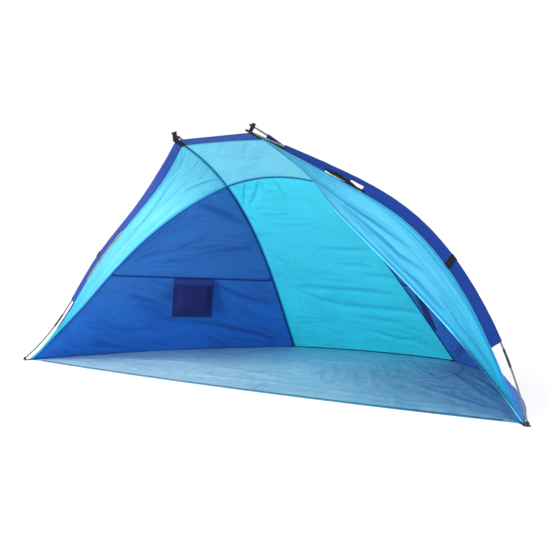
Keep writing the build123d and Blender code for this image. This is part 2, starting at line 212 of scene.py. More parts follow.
# %% Read the edge of the floor
def floor_edge(start, end):
    """The floor's edge between two of its corners, as the outermost points beside the chord."""
    spots, least_step, near_ground = node_spots("groundsheet"), 0.004, 0.001
    chord = end - start
    outward = unit(np.array([chord[1], -chord[0], 0.0]))
    shares = (spots - start) @ chord / (chord @ chord)
    beside = (spots - start) @ outward
    rim = (shares > 0.01) & (shares < 0.99) & (beside > 0.0005) & (spots[:, 2] < near_ground)
    order = np.argsort(shares[rim])
    points = [start] + list(spots[rim][order] * [1, 1, 0]) + [end]
    apart = [place for place, last in zip(points[1:], points) if np.linalg.norm(place - last) > least_step]
    return Line([start] + apart)


floor_side = floor_edge(corner, heel)
floor_back = floor_edge(heel, heel * mirror)
floor_front = floor_edge(corner * mirror, corner)
print("floor bows", [round(float(np.abs(line.at(0.5) - (line.at(0) + line.at(1)) / 2).max()), 3)
                     for line in (floor_side, floor_back, floor_front)])

# %% [markdown]
# The camera stands where the photograph was taken from, low and to the right of the opening.
# Its place and its lens were found from the shelter's own symmetry: the feet, the peaks and the
# seams' crossings lie in mirrored pairs, and only one camera shows all pairs where they are.

# %% Camera
camera_data = bpy.data.cameras.new("camera")
camera_data.lens = 54.23
camera_data.sensor_width = 36
camera = bpy.data.objects.new("camera", camera_data)
camera.location = (2.289, -2.720, 0.615)
camera.rotation_euler = (np.radians(90 - 2.178), 0, np.radians(36.185))
bpy.context.scene.collection.objects.link(camera)
bpy.context.scene.camera = camera

# %% [markdown]
# The finishes come before the pieces. Several of them share an effect: the weave of the cloth,
# slow differences in shade, the doubled and stitched cloth beside a seam. Each such effect is
# built once, as a node group with named inputs and outputs, and set anew in each material.

# %% Short calls that lay out nodes
class Nodes:
    """Adds nodes to a tree and links them, a value or a socket at a time."""

    def __init__(self, tree):
        self.tree = tree

    def add(self, kind, **settings):
        """A new shader node with some of its settings."""
        node = self.tree.nodes.new("ShaderNode" + kind)
        for name, value in settings.items():
            setattr(node, name, value)
        return node

    def give(self, socket, value):
        """Links a socket to another, or sets its value."""
        if isinstance(value, bpy.types.NodeSocket):
            self.tree.links.new(value, socket)
        else:
            socket.default_value = value

    def maths(self, operation, *values, clamp=False):
        """The result of a Math node."""
        node = self.add("Math", operation=operation, use_clamp=clamp)
        for socket, value in zip(node.inputs, values):
            self.give(socket, value)
        return node.outputs[0]

    def remap(self, value, low, high, to_low, to_high, kind="SMOOTHSTEP"):
        """A value carried from one range to another, softly at both ends unless told otherwise."""
        node = self.add("MapRange", interpolation_type=kind)
        for name, given in (("Value", value), ("From Min", low), ("From Max", high),
                            ("To Min", to_low), ("To Max", to_high)):
            self.give(node.inputs[name], given)
        return node.outputs["Result"]

    def mix(self, share, first, second, kind="MIX"):
        """A mix of two colours. The numbers are the places of a Mix node's colour sockets."""
        node = self.add("Mix", data_type="RGBA", blend_type=kind)
        for number, given in ((0, share), (6, first), (7, second)):
            self.give(node.inputs[number], given)
        return node.outputs[2]

    def noise(self, vector, scale, detail=2.0, roughness=0.5):
        """Soft noise from 0 to 1, with its scale in grains per metre."""
        node = self.add("TexNoise")
        for name, given in (("Vector", vector), ("Scale", scale), ("Detail", detail),
                            ("Roughness", roughness)):
            self.give(node.inputs[name], given)
        return node.outputs["Fac"]

    def attribute(self, name):
        """A number that the piece keeps at each of its points."""
        return self.add("Attribute", attribute_name=name).outputs["Fac"]


def start_group(name, inputs, outputs):
    """A new node group with its sockets, the calls that fill it, and its two ends."""
    tree = bpy.data.node_groups.new(name, "ShaderNodeTree")
    for socket, kind in inputs:
        tree.interface.new_socket(socket, in_out="INPUT", socket_type="NodeSocket" + kind)
    for socket in outputs:
        tree.interface.new_socket(socket, in_out="OUTPUT", socket_type="NodeSocketFloat")
    nodes = Nodes(tree)
    return tree, nodes, tree.nodes.new("NodeGroupInput").outputs, tree.nodes.new("NodeGroupOutput").inputs


# %% Weave
FULL_TURN = 6.2832
weave_group, nodes, given, wanted = start_group("weave", [("Cloth", "Vector"), ("Thread", "Float")],
                                                ["Height", "Shade"])
split = nodes.add("SeparateXYZ")
nodes.give(split.inputs[0], given["Cloth"])
threads = [nodes.maths("DIVIDE", split.outputs[way], given["Thread"]) for way in range(2)]
turns = [nodes.maths("SINE", nodes.maths("MULTIPLY", count, FULL_TURN)) for count in threads]
over_under = nodes.maths("MULTIPLY", *turns)
nodes.give(wanted["Height"], over_under)
nodes.give(wanted["Shade"], nodes.remap(over_under, -1, 1, 0.94, 1.04, "LINEAR"))

# %% Slow shade: differences over a hand's width, as dye, dust and handling leave them
shade_group, nodes, given, wanted = start_group(
    "slow_shade", [("Place", "Vector"), ("Per metre", "Float"), ("Amount", "Float")], ["Shade"])
spread = nodes.maths("SUBTRACT", nodes.noise(given["Place"], given["Per metre"], 4.0), 0.5)
nodes.give(wanted["Shade"], nodes.maths("ADD", 1.0, nodes.maths("MULTIPLY", spread, given["Amount"])))

# %% Sewn edge: cloth is doubled beside a seam and stitched through
edge_group, nodes, given, wanted = start_group(
    "sewn_edge", [("Allowance", "Float"), ("Stitch line", "Float")], ["Doubled", "Stitch"])
from_edge, seam_run = nodes.attribute("edge"), nodes.attribute("run")
nodes.give(wanted["Doubled"], nodes.remap(
    from_edge, nodes.maths("MULTIPLY", given["Allowance"], 0.9), given["Allowance"], 1.0, 0.0))
off_line = nodes.maths("ABSOLUTE", nodes.maths("SUBTRACT", from_edge, given["Stitch line"]))
thread_half, stitch_step, stitch_part = 0.0009, 0.0052, 0.7
on_line = nodes.maths("LESS_THAN", off_line, thread_half)
stitches_so_far = nodes.maths("DIVIDE", seam_run, stitch_step)
in_stitch = nodes.maths("LESS_THAN", nodes.maths("FRACT", stitches_so_far), stitch_part)
nodes.give(wanted["Stitch"], nodes.maths("MULTIPLY", on_line, in_stitch))

# %% Crumple: the small dents and sharp creases that stay in cloth and sheeting
crumple_group, nodes, given, wanted = start_group(
    "crumple", [("Place", "Vector"), ("Per metre", "Float")], ["Height"])
dents = nodes.noise(given["Place"], given["Per metre"], 3.0, 0.6)
warp = nodes.add("VectorMath", operation="SCALE")
nodes.give(warp.inputs[0], given["Place"])
nodes.give(warp.inputs["Scale"], given["Per metre"])
cells = nodes.add("TexVoronoi", feature="DISTANCE_TO_EDGE")
cells_per_dent, crease_width, crease_share = 0.55, 0.16, 0.25
nodes.give(cells.inputs["Vector"], warp.outputs[0])
nodes.give(cells.inputs["Scale"], cells_per_dent)
creases = nodes.remap(cells.outputs["Distance"], 0.0, crease_width, 0.0, 1.0)
nodes.give(wanted["Height"], nodes.maths("ADD", dents, nodes.maths("MULTIPLY", creases, crease_share)))
print("node groups:", [tree.name for tree in bpy.data.node_groups])


# %% A material and the groups in it
def srgb(red, green, blue):
    """A colour given in screen values from 0 to 255."""
    values = np.array([red, green, blue]) / 255
    linear = np.where(values <= 0.04045, values / 12.92, ((values + 0.055) / 1.055) ** 2.4)
    return tuple(float(value) for value in linear) + (1.0,)


def start_material(name, roughness, metallic=0.0, **more):
    """A new material, the calls that fill it, its shader, the cloth's own map and the place."""
    material = bpy.data.materials.new(name)
    material.use_nodes = True
    nodes = Nodes(material.node_tree)
    shader = material.node_tree.nodes["Principled BSDF"]
    shader.inputs["Roughness"].default_value = roughness
    shader.inputs["Metallic"].default_value = metallic
    for socket, value in more.items():
        shader.inputs[socket.replace("_", " ")].default_value = value
    coordinates = nodes.add("TexCoord")
    return material, nodes, shader, coordinates.outputs["UV"], coordinates.outputs["Object"]


def placed(nodes, tree, **values):
    """A node group put in a material with its own values."""
    node = nodes.add("Group", node_tree=tree)
    for name, value in values.items():
        nodes.give(node.inputs[name.replace("_", " ")], value)
    return node.outputs


def times(nodes, colour, *shades):
    """A colour made lighter or darker by shades."""
    for shade in shades:
        colour = nodes.mix(1.0, colour, shade, "MULTIPLY")
    return colour


def bumps(nodes, shader, *layers):
    """Bump nodes in a row, each a height, the depth of its grain in metres and a strength."""
    below = None
    for height, depth, strength in layers:
        bump = nodes.add("Bump")
        nodes.give(bump.inputs["Height"], height)
        nodes.give(bump.inputs["Distance"], depth)
        nodes.give(bump.inputs["Strength"], strength)
        if below:
            nodes.give(bump.inputs["Normal"], below)
        below = bump.outputs["Normal"]
    nodes.give(shader.inputs["Normal"], below)


# %% [markdown]
# All the walls are one kind of cloth, thin woven polyester in several colours. Some of these are
# paler or darker copies of one cloth, which paint light and shade on it. One function makes each
# of them: the weave as a fine grain, slow shades over it, a deeper colour where the cloth is
# doubled, painted shade where it is folded, and stitches along the seams. Light comes through thin
# cloth from the ground, so a wall may also have a second colour towards its foot, which is painted
# light, and on the wings painted shade. A picture of cloth would be simpler, but it would repeat,
# and it wouldn't know where the seams are.

# %% Cloth
def cloth_finish(name, colour, deep, thread, thread_size=0.0011, foot_light_and_shade=None):
    """Woven polyester: colour, a deeper one where it is doubled and as painted shade where it is folded, and
    the sewing thread.
    """
    roughness, allowance, crumple, low, high = 0.6, 0.012, 0.45, 0.05, 0.6
    material, nodes, shader, cloth, place = start_material(name, roughness, Sheen_Weight=0.04,
                                                           Specular_IOR_Level=0.16)
    weave = placed(nodes, weave_group, Cloth=cloth, Thread=thread_size)
    slow = placed(nodes, shade_group, Place=place, Per_metre=5.0, Amount=0.16)
    fine = placed(nodes, shade_group, Place=place, Per_metre=38.0, Amount=0.10)
    sewn = placed(nodes, edge_group, Allowance=allowance, Stitch_line=allowance * 0.6)
    dent = placed(nodes, crumple_group, Place=place, Per_metre=16.0)
    doubled = nodes.maths("MULTIPLY", sewn["Doubled"], 0.6)
    # The crease attribute is painted shade along the folds; with the doubled cloth it mixes the colour
    # towards the deep one.
    depth = nodes.maths("ADD", doubled, nodes.attribute("crease"), clamp=True)
    base = colour
    # Painted light towards the foot of a wall, and painted shade towards the foot of a wing, fading out up to
    # 0.6 m.
    if foot_light_and_shade:
        height = nodes.add("SeparateXYZ")
        nodes.give(height.inputs[0], place)
        base = nodes.mix(nodes.remap(height.outputs[2], low, high, 1.0, 0.0), colour, foot_light_and_shade)
    tinted = times(nodes, nodes.mix(depth, base, deep), slow["Shade"], fine["Shade"], weave["Shade"])
    nodes.give(shader.inputs["Base Color"], nodes.mix(sewn["Stitch"], tinted, thread))
    nodes.give(shader.inputs["Roughness"],
               nodes.remap(weave["Height"], -1, 1, roughness + 0.05, roughness - 0.05))
    bumps(nodes, shader, (dent["Height"], 0.004, crumple), (weave["Height"], 0.00015, 0.5),
          (sewn["Stitch"], 0.0006, 0.6))
    return material


# %% The colours of the cloth
# The second colour of each wall towards its foot is painted light; on the wings it is painted shade.
cyan = cloth_finish("cyan_cloth", srgb(72, 220, 242), srgb(16, 165, 210), srgb(30, 120, 190),
                    foot_light_and_shade=srgb(64, 238, 255))
# The ceiling cloth is a paler copy of the cyan, painted light for the light that comes through it.
ceiling_cyan_painted_light = cloth_finish("ceiling_cloth_painted_light", srgb(122, 210, 230), srgb(34, 165, 212), srgb(60, 160, 215))
# The wings are one cloth: the right one is painted darker as shade, the left one paler as light.
wing_cyan_painted_light_and_shade = {
    "right": cloth_finish("right_wing_cloth_painted_shade", srgb(74, 168, 200), srgb(10, 116, 172),
                          srgb(20, 110, 180), foot_light_and_shade=srgb(26, 144, 180)),
    "left": cloth_finish("left_wing_cloth_painted_light", srgb(106, 199, 223), srgb(34, 160, 202),
                         srgb(50, 150, 205), foot_light_and_shade=srgb(36, 176, 206)),
}
blue = cloth_finish("blue_cloth", srgb(49, 108, 180), srgb(22, 68, 148), srgb(22, 64, 146),
                    foot_light_and_shade=srgb(41, 115, 208))
navy = cloth_finish("navy_cloth", srgb(18, 50, 122), srgb(12, 36, 100), srgb(40, 70, 140))
# The same navy cloth painted paler, as painted light where it is seen from inside with light coming through
# it.
navy_painted_light = cloth_finish("navy_cloth_painted_light", srgb(50, 78, 158), srgb(34, 54, 128), srgb(70, 84, 160))
tape = cloth_finish("seam_tape", srgb(16, 42, 100), srgb(10, 28, 80), srgb(40, 70, 140),
                    thread_size=0.0016)
wing_tape = {
    "right": cloth_finish("pale_seam_tape", srgb(96, 196, 226), srgb(40, 150, 200),
                          srgb(90, 190, 225)),
    "left": cloth_finish("blue_seam_tape", srgb(26, 100, 176), srgb(16, 78, 154),
                         srgb(40, 120, 190)),
}
piping = cloth_finish("tan_piping", srgb(176, 156, 96), srgb(130, 116, 76), srgb(90, 84, 60),
                      thread_size=0.0014)
band_cloth = cloth_finish("pocket_band", srgb(40, 56, 126), srgb(36, 40, 98), srgb(56, 60, 124))
print("cloth finishes made")


# %% [markdown]
# The floor is another cloth: flat tapes of polyethylene woven square and coated, so that it is
# shinier than the walls, keeps sharp creases and shows its tapes as a small grid. The pockets
# are a close mesh with a bound edge, and the straps are webbing with raised ribs across.

# %% Floor
def floor_finish(name, bright, dull):
    """Coated woven sheeting, a little dull, darker towards the right and with painted shade along its folds.
    """
    material, nodes, shader, cloth, place = start_material(name, 0.42, Specular_IOR_Level=0.5)
    weave = placed(nodes, weave_group, Cloth=cloth, Thread=0.0042)
    slow = placed(nodes, shade_group, Place=place, Per_metre=2.6, Amount=0.40)
    fine = placed(nodes, shade_group, Place=place, Per_metre=30.0, Amount=0.34)
    dent = placed(nodes, crumple_group, Place=place, Per_metre=11.0)
    sewn = placed(nodes, edge_group, Allowance=0.015, Stitch_line=0.009)
    spread = nodes.add("SeparateXYZ")
    nodes.give(spread.inputs[0], place)
    # The sheeting darkens towards the right, and the crease attribute paints shade along its folds.
    darkening_from_x, darkest_from_x, most_darkening = -0.5, 1.1, 0.75
    darker_to_right = nodes.remap(spread.outputs[0], darkening_from_x, darkest_from_x, 0.0, most_darkening)
    depth = nodes.maths("ADD", darker_to_right, nodes.attribute("crease"), clamp=True)
    depth = nodes.maths("ADD", depth, nodes.maths("MULTIPLY", sewn["Doubled"], 0.3), clamp=True)
    base = nodes.mix(depth, bright, dull)
    base = times(nodes, base, slow["Shade"], fine["Shade"], weave["Shade"])
    nodes.give(shader.inputs["Base Color"], nodes.mix(sewn["Stitch"], base, srgb(60, 90, 140)))
    nodes.give(shader.inputs["Roughness"], nodes.remap(dent["Height"], 0.2, 0.9, 0.34, 0.56))
    bumps(nodes, shader, (dent["Height"], 0.012, 0.6), (weave["Height"], 0.0004, 0.5))
    return material


# %% Pocket mesh
def mesh_finish():
    """A close mesh: rows of small holes, dark inside, and a bound edge."""
    material, nodes, shader, cloth, place = start_material("pocket_mesh", 0.75, Specular_IOR_Level=0.2)
    holes = placed(nodes, weave_group, Cloth=cloth, Thread=0.0052)
    open_part = nodes.remap(holes["Height"], 0.25, 0.6, 0.0, 1.0)
    slow = placed(nodes, shade_group, Place=place, Per_metre=9.0, Amount=0.3)
    sewn = placed(nodes, edge_group, Allowance=0.010, Stitch_line=0.005)
    base = nodes.mix(open_part, srgb(34, 38, 96), srgb(20, 22, 68))
    base = nodes.mix(sewn["Doubled"], times(nodes, base, slow["Shade"]), srgb(26, 34, 90))
    nodes.give(shader.inputs["Base Color"], nodes.mix(sewn["Stitch"], base, srgb(38, 46, 108)))
    nodes.give(shader.inputs["Roughness"], nodes.remap(open_part, 0, 1, 0.7, 0.85))
    bumps(nodes, shader, (nodes.maths("SUBTRACT", 1.0, open_part), 0.0008, 0.5))
    return material


# %% Webbing
def webbing_finish():
    """Woven strap: ribs across, with fine random differences in tone."""
    material, nodes, shader, cloth, place = start_material("black_webbing", 0.8, Sheen_Weight=0.03,
                                                           Specular_IOR_Level=0.15)
    ribs = placed(nodes, weave_group, Cloth=cloth, Thread=0.0024)
    fine = placed(nodes, shade_group, Place=place, Per_metre=90.0, Amount=0.7)
    base = nodes.mix(nodes.remap(ribs["Height"], -1, 1, 0, 1), srgb(13, 14, 18), srgb(34, 36, 44))
    nodes.give(shader.inputs["Base Color"], times(nodes, base, fine["Shade"]))
    nodes.give(shader.inputs["Roughness"], nodes.remap(ribs["Height"], -1, 1, 0.85, 0.7))
    bumps(nodes, shader, (ribs["Height"], 0.0005, 0.7))
    return material


# %% Rods and moulded parts
def hard_finish(name, colour, second, roughness, metallic, grain, stretch, depth, **more):
    """Rods and moulded parts: fine grain, two shades of one colour, and scuffs that are rougher."""
    material, nodes, shader, cloth, place = start_material(name, roughness, metallic, **more)
    turned = nodes.add("Mapping")
    nodes.give(turned.inputs["Vector"], place)
    turned.inputs["Scale"].default_value = stretch
    streak = nodes.noise(turned.outputs[0], grain, 4.0, 0.6)
    scuff = nodes.remap(nodes.noise(place, 45.0, 5.0, 0.7), 0.52, 0.68, 0.0, 1.0)
    base = nodes.mix(nodes.remap(streak, 0.35, 0.65, 0, 1), colour, second)
    nodes.give(shader.inputs["Base Color"], nodes.mix(nodes.maths("MULTIPLY", scuff, 0.35), base, second))
    nodes.give(shader.inputs["Roughness"], nodes.remap(scuff, 0, 1, roughness, min(roughness + 0.2, 1)))
    bumps(nodes, shader, (streak, depth, 0.3))
    return material


# %% Finishes of the floor, the pockets, the straps and the hard pieces
floor_cloth = floor_finish("woven_floor", srgb(184, 222, 234), srgb(98, 162, 192))
floor_hem = floor_finish("woven_floor_hem", srgb(128, 168, 184), srgb(66, 108, 136))
mesh_cloth, webbing = mesh_finish(), webbing_finish()
even_grain = (1, 1, 1)
fibreglass = hard_finish("fibreglass", srgb(74, 82, 74), srgb(112, 122, 110), 0.38, 0.0, 160.0,
                         (1, 1, 0.2), 0.0003, Coat_Weight=0.15)
black_plastic = hard_finish("black_plastic", srgb(16, 16, 18), srgb(38, 38, 42), 0.42, 0.0, 400.0,
                            even_grain, 0.0003)
dark_steel = hard_finish("dark_steel", srgb(46, 47, 50), srgb(84, 85, 88), 0.34, 0.9, 240.0,
                         (1, 1, 0.1), 0.0002)
bright_steel = hard_finish("bright_steel", srgb(176, 178, 182), srgb(206, 208, 210), 0.24, 1.0, 300.0,
                           even_grain, 0.0001)
print("materials:", len(bpy.data.materials))

# %% [markdown]
# A panel of cloth that is pulled tight between four sewn edges takes the shape of a soap film,
# and a Coons patch comes close to that: it blends the two pairs of opposite edges. Each panel
# starts as a flat grid whose points are then moved onto its patch, so its columns and rows run
# with the threads of the cloth, and its own map of the cloth keeps the weave in place.

# %% Surfaces between four edges
def patch(bottom, top, left, right):
    """A surface stretched between four edges, each a function of a share from 0 to 1."""
    def surface(u, v):
        across, up = u[:, None], v[:, None]
        corners = bottom(0) * (1 - across) * (1 - up) + bottom(1) * across * (1 - up)
        corners = corners + top(0) * (1 - across) * up + top(1) * across * up
        sides = left(v) * (1 - across) + right(v) * across
        return bottom(u) * (1 - up) + top(u) * up + sides - corners
    return surface


def flip(edge):
    """An edge or surface on the other side of the shelter."""
    return lambda *place: edge(*place) * mirror


def normals_of(surface, u, v, inside=heart):
    """The directions square to a surface, pointing away from a point inside."""
    step = 0.004
    low_u, high_u = np.clip(u - step, 0, 1), np.clip(u + step, 0, 1)
    low_v, high_v = np.clip(v - step, 0, 1), np.clip(v + step, 0, 1)
    inner_u, inner_v = np.clip(u, step, 1 - step), np.clip(v, step, 1 - step)
    rise = surface(inner_u, high_v) - surface(inner_u, low_v)
    run = surface(high_u, inner_v) - surface(low_u, inner_v)
    square = unit(np.cross(run, rise))
    return square * np.sign(((surface(u, v) - inside) * square).sum(axis=1).mean())


# %% Make a piece from a working mesh
def finished(name, work, material, slot_name, *nodes):
    """Turns a working mesh into a piece that rides on the shelter and stands for nodes."""
    mesh = bpy.data.meshes.new(name)
    work.to_mesh(mesh)
    work.free()
    mesh.polygons.foreach_set("use_smooth", [True] * len(mesh.polygons))
    mesh.materials.append(material)
    piece = bpy.data.objects.new(name, mesh)
    bpy.context.scene.collection.objects.link(piece)
    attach(piece, "root")
    for node in nodes:
        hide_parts(node)
    return piece


def thicken(piece, thickness, offset=1):
    """Gives a sheet its thickness with a live modifier."""
    wall = piece.modifiers.new("thickness", "SOLIDIFY")
    wall.thickness = thickness
    wall.offset = offset
    wall.use_even_offset = False
    return piece


def lay_map(work, across, up):
    """A map of the cloth in metres, so that a weave keeps its size and follows the piece."""
    layer = work.loops.layers.uv.new("cloth")
    for face in work.faces:
        for loop in face.loops:
            loop[layer].uv = (across[loop.vert.index], up[loop.vert.index])


def tag(work, **values):
    """Numbers kept at each point for the materials: metres from the edge, along it, and painted shade in
    creases.
    """
    for name, row in values.items():
        layer = work.verts.layers.float.new(name)
        row = np.broadcast_to(row, len(work.verts))
        for vert in work.verts:
            vert[layer] = float(row[vert.index])


def grid(columns, rows):
    """A flat working mesh and its points' shares across and up."""
    work = bmesh.new()
    bmesh.ops.create_grid(work, x_segments=columns, y_segments=rows, size=0.5)
    work.verts.index_update()
    spots = np.array([vert.co[:] for vert in work.verts]) + 0.5
    return work, spots[:, 0], spots[:, 1]


# %% Measure the cloth of a panel
flat_sizes = {}


even = np.linspace(0, 1, 41)


def sampled(surface):
    """Points of a surface, row by row, at even shares both ways."""
    v, u = (values.ravel() for values in np.meshgrid(even, even, indexing="ij"))
    return surface(u, v)


def rows_and_columns(surface):
    """The lengths of a surface's rows and columns, and the area between them."""
    spots = sampled(surface).reshape(len(even), len(even), 3)
    across, up = np.diff(spots, axis=1), np.diff(spots, axis=0)
    area = float(np.linalg.norm(np.cross(across[:-1], up[:, :-1]), axis=2).sum())
    return np.linalg.norm(across, axis=2).sum(axis=1), np.linalg.norm(up, axis=2).sum(axis=0), area


def smallest_blank(surface, spare=1.02):
    """The rectangle that a nearly flat, slanting panel is cut from, along its own longest way."""
    spots = sampled(surface)
    offsets = spots - spots.mean(axis=0)
    spans = offsets @ np.linalg.svd(offsets, full_matrices=False)[2].T
    width, length, _ = (spans.max(axis=0) - spans.min(axis=0)) * spare
    return float(width), float(length)


# %% [markdown]
# Sewn cloth is never quite smooth. Long folds run from where it is pulled, small puckers sit
# along the seams, and slow waves fill the rest. Each fold is a soft ridge along a short path
# over the panel, given in shares of the panel, and the waves are layered noise. All of them
# fade out at the sewn edges, which stay where the frame holds them.

# %% Folds, waves and puckers
def fade(share, width):
    """Rises from 0 to 1 over a width, smoothly."""
    part = np.clip(share / width, 0, 1)
    return part * part * (3 - 2 * part)


def waves(spots, size, seed):
    """Slow noise at the given size in metres, from -1 to 1."""
    return np.array([noise.noise(Vector(place)) for place in spots / size + seed * 7.31])


def fold(x, y, path, half):
    """1 along a path of points and 0 beyond a few half widths from it, fading at its ends."""
    best = np.full(len(x), 9.0)
    where = np.zeros(len(x))
    for number, ((x0, y0), (x1, y1)) in enumerate(zip(path, path[1:])):
        run = (x1 - x0) ** 2 + (y1 - y0) ** 2
        part = np.clip(((x - x0) * (x1 - x0) + (y - y0) * (y1 - y0)) / run, 0, 1)
        away = np.hypot(x - x0 - part * (x1 - x0), y - y0 - part * (y1 - y0))
        where = np.where(away < best, (number + part) / (len(path) - 1), where)
        best = np.minimum(best, away)
    return np.sin(np.pi * where) ** 0.5 * np.exp(-(best / half) ** 2)


def streaks(x, y, lean, long, short, seed):
    """Many fine ridges side by side, leaning by an angle from the rows, with quiet places."""
    lean = np.radians(lean)
    along, across = x * np.cos(lean) + y * np.sin(lean), y * np.cos(lean) - x * np.sin(lean)
    flat = np.zeros(len(x))
    ripple = waves(np.stack([along / long, across / short, flat], axis=1), 1, seed)
    quiet = waves(np.stack([along / (long * 1.3), across / (short * 4), flat], axis=1), 1, seed + 0.5)
    crest = np.clip(1 - np.abs(ripple) * 3.2, 0, 1) ** 1.5
    return crest * np.clip(quiet * 2.2 + 0.45, 0, 1)


def puckers(distances, runs, seed):
    """Small creases square to each sewn edge, that die out towards the middle of the panel."""
    total, across_size, along_size, reaches = 0, 0.026, 0.16, 0.05
    for number, (away, run) in enumerate(zip(distances, runs)):
        own_noise = np.full(len(run), seed * 3.7 + number)
        places = np.stack([run / across_size, away / along_size, own_noise], axis=1)
        total = total + np.exp(-away / reaches) * waves(places, 1, seed)
    return total


# %% Build a panel
def panel(name, surface, columns, rows, material, slot_name, nodes, folds=(), slow=0.004,
          pucker=0.0022, wave_size=0.22, thickness=0.0012, seed=1, inside=heart, shift=0.0,
          ease=0.05, grain=(), slanting=False):
    """A panel of cloth. Folds are rows of path, half width, height and painted shade, and grain is rows of
    lean, long, short, height and painted shade for its streaks."""
    work, u, v = grid(columns, rows)
    row_lengths, column_lengths, area = rows_and_columns(surface)
    width, length = float(row_lengths.max()), float(column_lengths.max())
    row, column = np.interp(v, even, row_lengths), np.interp(u, even, column_lengths)
    distances = [u * row, (1 - u) * row, v * column, (1 - v) * column]
    runs = [v * column, v * column, u * row, u * row]
    edge = np.min(distances, axis=0)
    run = np.choose(np.argmin(distances, axis=0), runs)
    spots = surface(u, v)
    square = normals_of(surface, u, v, inside)
    finer = 0.35
    lift = slow * waves(spots, wave_size, seed)
    lift += slow * finer * waves(spots, wave_size * finer, seed + 5)
    # The folds and streaks also paint shade along themselves, kept in crease for the material.
    crease = np.zeros(len(u))
    for path, half, height, painted_shade in folds:
        ridge_here = fold(u * width, v * length, [(a * width, b * length) for a, b in path], half)
        lift += height * ridge_here
        crease = np.maximum(crease, painted_shade * ridge_here)
    for number, (lean, long, short, height, painted_shade) in enumerate(grain):
        ripple = streaks(u * width, v * length, lean, long, short, seed + number * 2.3)
        lift += height * ripple
        crease = np.maximum(crease, painted_shade * ripple)
    crease *= fade(edge, 0.02)
    lift = lift * fade(edge, ease) + pucker * puckers(distances, runs, seed) * fade(edge, 0.012)
    for vert, spot in zip(work.verts, spots + square * (lift + shift)[:, None]):
        vert.co = spot
    lay_map(work, u * width, v * length)
    tag(work, edge=edge, run=run, crease=crease)
    work.normal_update()
    if sum(face.normal.dot(Vector(square[face.verts[0].index])) for face in work.faces) < 0:
        bmesh.ops.reverse_faces(work, faces=work.faces)
    piece = finished(name, work, material, slot_name, *nodes)
    if slanting:
        width, length = smallest_blank(surface)
    flat_sizes[name] = (width, length, min(area, width * length))
    return thicken(piece, thickness)


# %% [markdown]
# The roof is a narrow strip between the two peaks, with a doubled hem along its front. The back
# wall falls from the ridge to the floor between the two ribs. Both are seen from inside. Their
# main folds could be left to chance, but the eye knows a shelter by them, so they are given as
# paths in shares of the panel, read from the photograph.

# %% Roof and hem
def roof_front(u):
    """The front edge of the roof, straight from peak to peak."""
    share = np.asarray(u, dtype=float)[..., None]
    return peak * mirror * (1 - share) + peak * share


roof = patch(roof_front, ridge.at, flip(rib_line.part(0, crossing_on_rib)), rib_line.part(0, crossing_on_rib))
hem_left, hem_right = 0.054, 0.070
roof_depth = float(np.linalg.norm(ridge.at(0.5) - roof_front(0.5)))


def hem_end(u):
    """The share of the roof's depth that the hem takes, a little more towards the right."""
    return (hem_left + (hem_right - hem_left) * u) / roof_depth


def roof_behind_hem(u, v):
    """The roof from the end of its hem to the ridge."""
    return roof(u, hem_end(u) + (1 - hem_end(u)) * v)


# The roof takes the cyan painted paler for the light through it.
panel("roof_cloth", roof_behind_hem, 90, 70, ceiling_cyan_painted_light, "pale_cyan_fabric", ["roof_panel"], slow=0.003,
      folds=[([(0.02, 0.2), (0.3, 0.5), (0.7, 0.62)], 0.03, 0.004, 0.1),
              ([(0.98, 0.15), (0.72, 0.42), (0.4, 0.8)], 0.03, 0.004, 0.12)], seed=2,
      grain=[(35, 0.2, 0.03, 0.0015, 0.12), (-40, 0.2, 0.03, 0.0015, 0.1)])
# The roof's hem takes the navy painted paler for the light through it.
panel("roof_hem_cloth", lambda u, v: roof(u, hem_end(u) * v), 90, 12, navy_painted_light, "navy_fabric",
      ["roof_front_hem"], slow=0.001, pucker=0.0008, thickness=0.0024, seed=3, ease=0.02)

# %% Back wall

back = patch(lambda u: floor_back.at(1 - np.asarray(u)), ridge.at,
             flip(rib_line.part(1, crossing_on_rib)), rib_line.part(1, crossing_on_rib))
back_folds = [
    ([(0.21, 0.99), (0.12, 0.94), (0.02, 0.87)], 0.012, 0.006, 0.5),
    ([(0.36, 0.985), (0.23, 0.926), (0.09, 0.863)], 0.013, 0.007, 0.45),
    ([(0.38, 0.98), (0.32, 0.93)], 0.010, 0.004, 0.3),
    ([(0.53, 0.98), (0.5, 0.92), (0.49, 0.86)], 0.012, 0.005, 0.3),
    ([(0.01, 0.815), (0.08, 0.77)], 0.012, 0.006, 0.4),
    ([(0.0, 0.7), (0.09, 0.68)], 0.012, 0.005, 0.3),
    ([(0.08, 0.572), (0.14, 0.53)], 0.014, 0.005, 0.25),
    ([(0.47, 0.6), (0.7, 0.592), (0.99, 0.6)], 0.020, 0.008, 0.25),
    ([(0.56, 0.505), (0.7, 0.512), (0.83, 0.505)], 0.016, 0.006, 0.25),
    ([(0.72, 0.455), (0.99, 0.46)], 0.018, 0.007, 0.25),
    ([(0.1, 0.385), (0.495, 0.368), (0.91, 0.361)], 0.020, 0.009, 0.35),
    ([(0.144, 0.378), (0.284, 0.308), (0.452, 0.278), (0.83, 0.271), (0.99, 0.264)], 0.020, 0.009, 0.35),
    ([(0.468, 0.214), (0.83, 0.197)], 0.018, 0.007, 0.25),
    ([(0.26, 0.117), (0.355, 0.094)], 0.016, 0.006, 0.25),
    ([(0.52, 0.14), (0.706, 0.094), (0.823, 0.094)], 0.016, 0.008, 0.35),
]
panel("back_wall_cloth", back, 170, 170, cyan, "cyan_fabric", ["back_wall"], back_folds, slow=0.006, seed=4,
      grain=[(-5, 0.34, 0.034, 0.0030, 0.24), (78, 0.3, 0.045, 0.0015, 0.10)])
print("roof is", round(roof_depth, 3), "deep, back wall has", len(back_folds), "folds")

# %% [markdown]
# Each side wall is two panels with a cross seam between them, which carries the pocket. The
# wings are the long narrow panels that flare from the side walls out to the front poles. They
# hang beside the poles, so each has deep folds that run down from the peak.

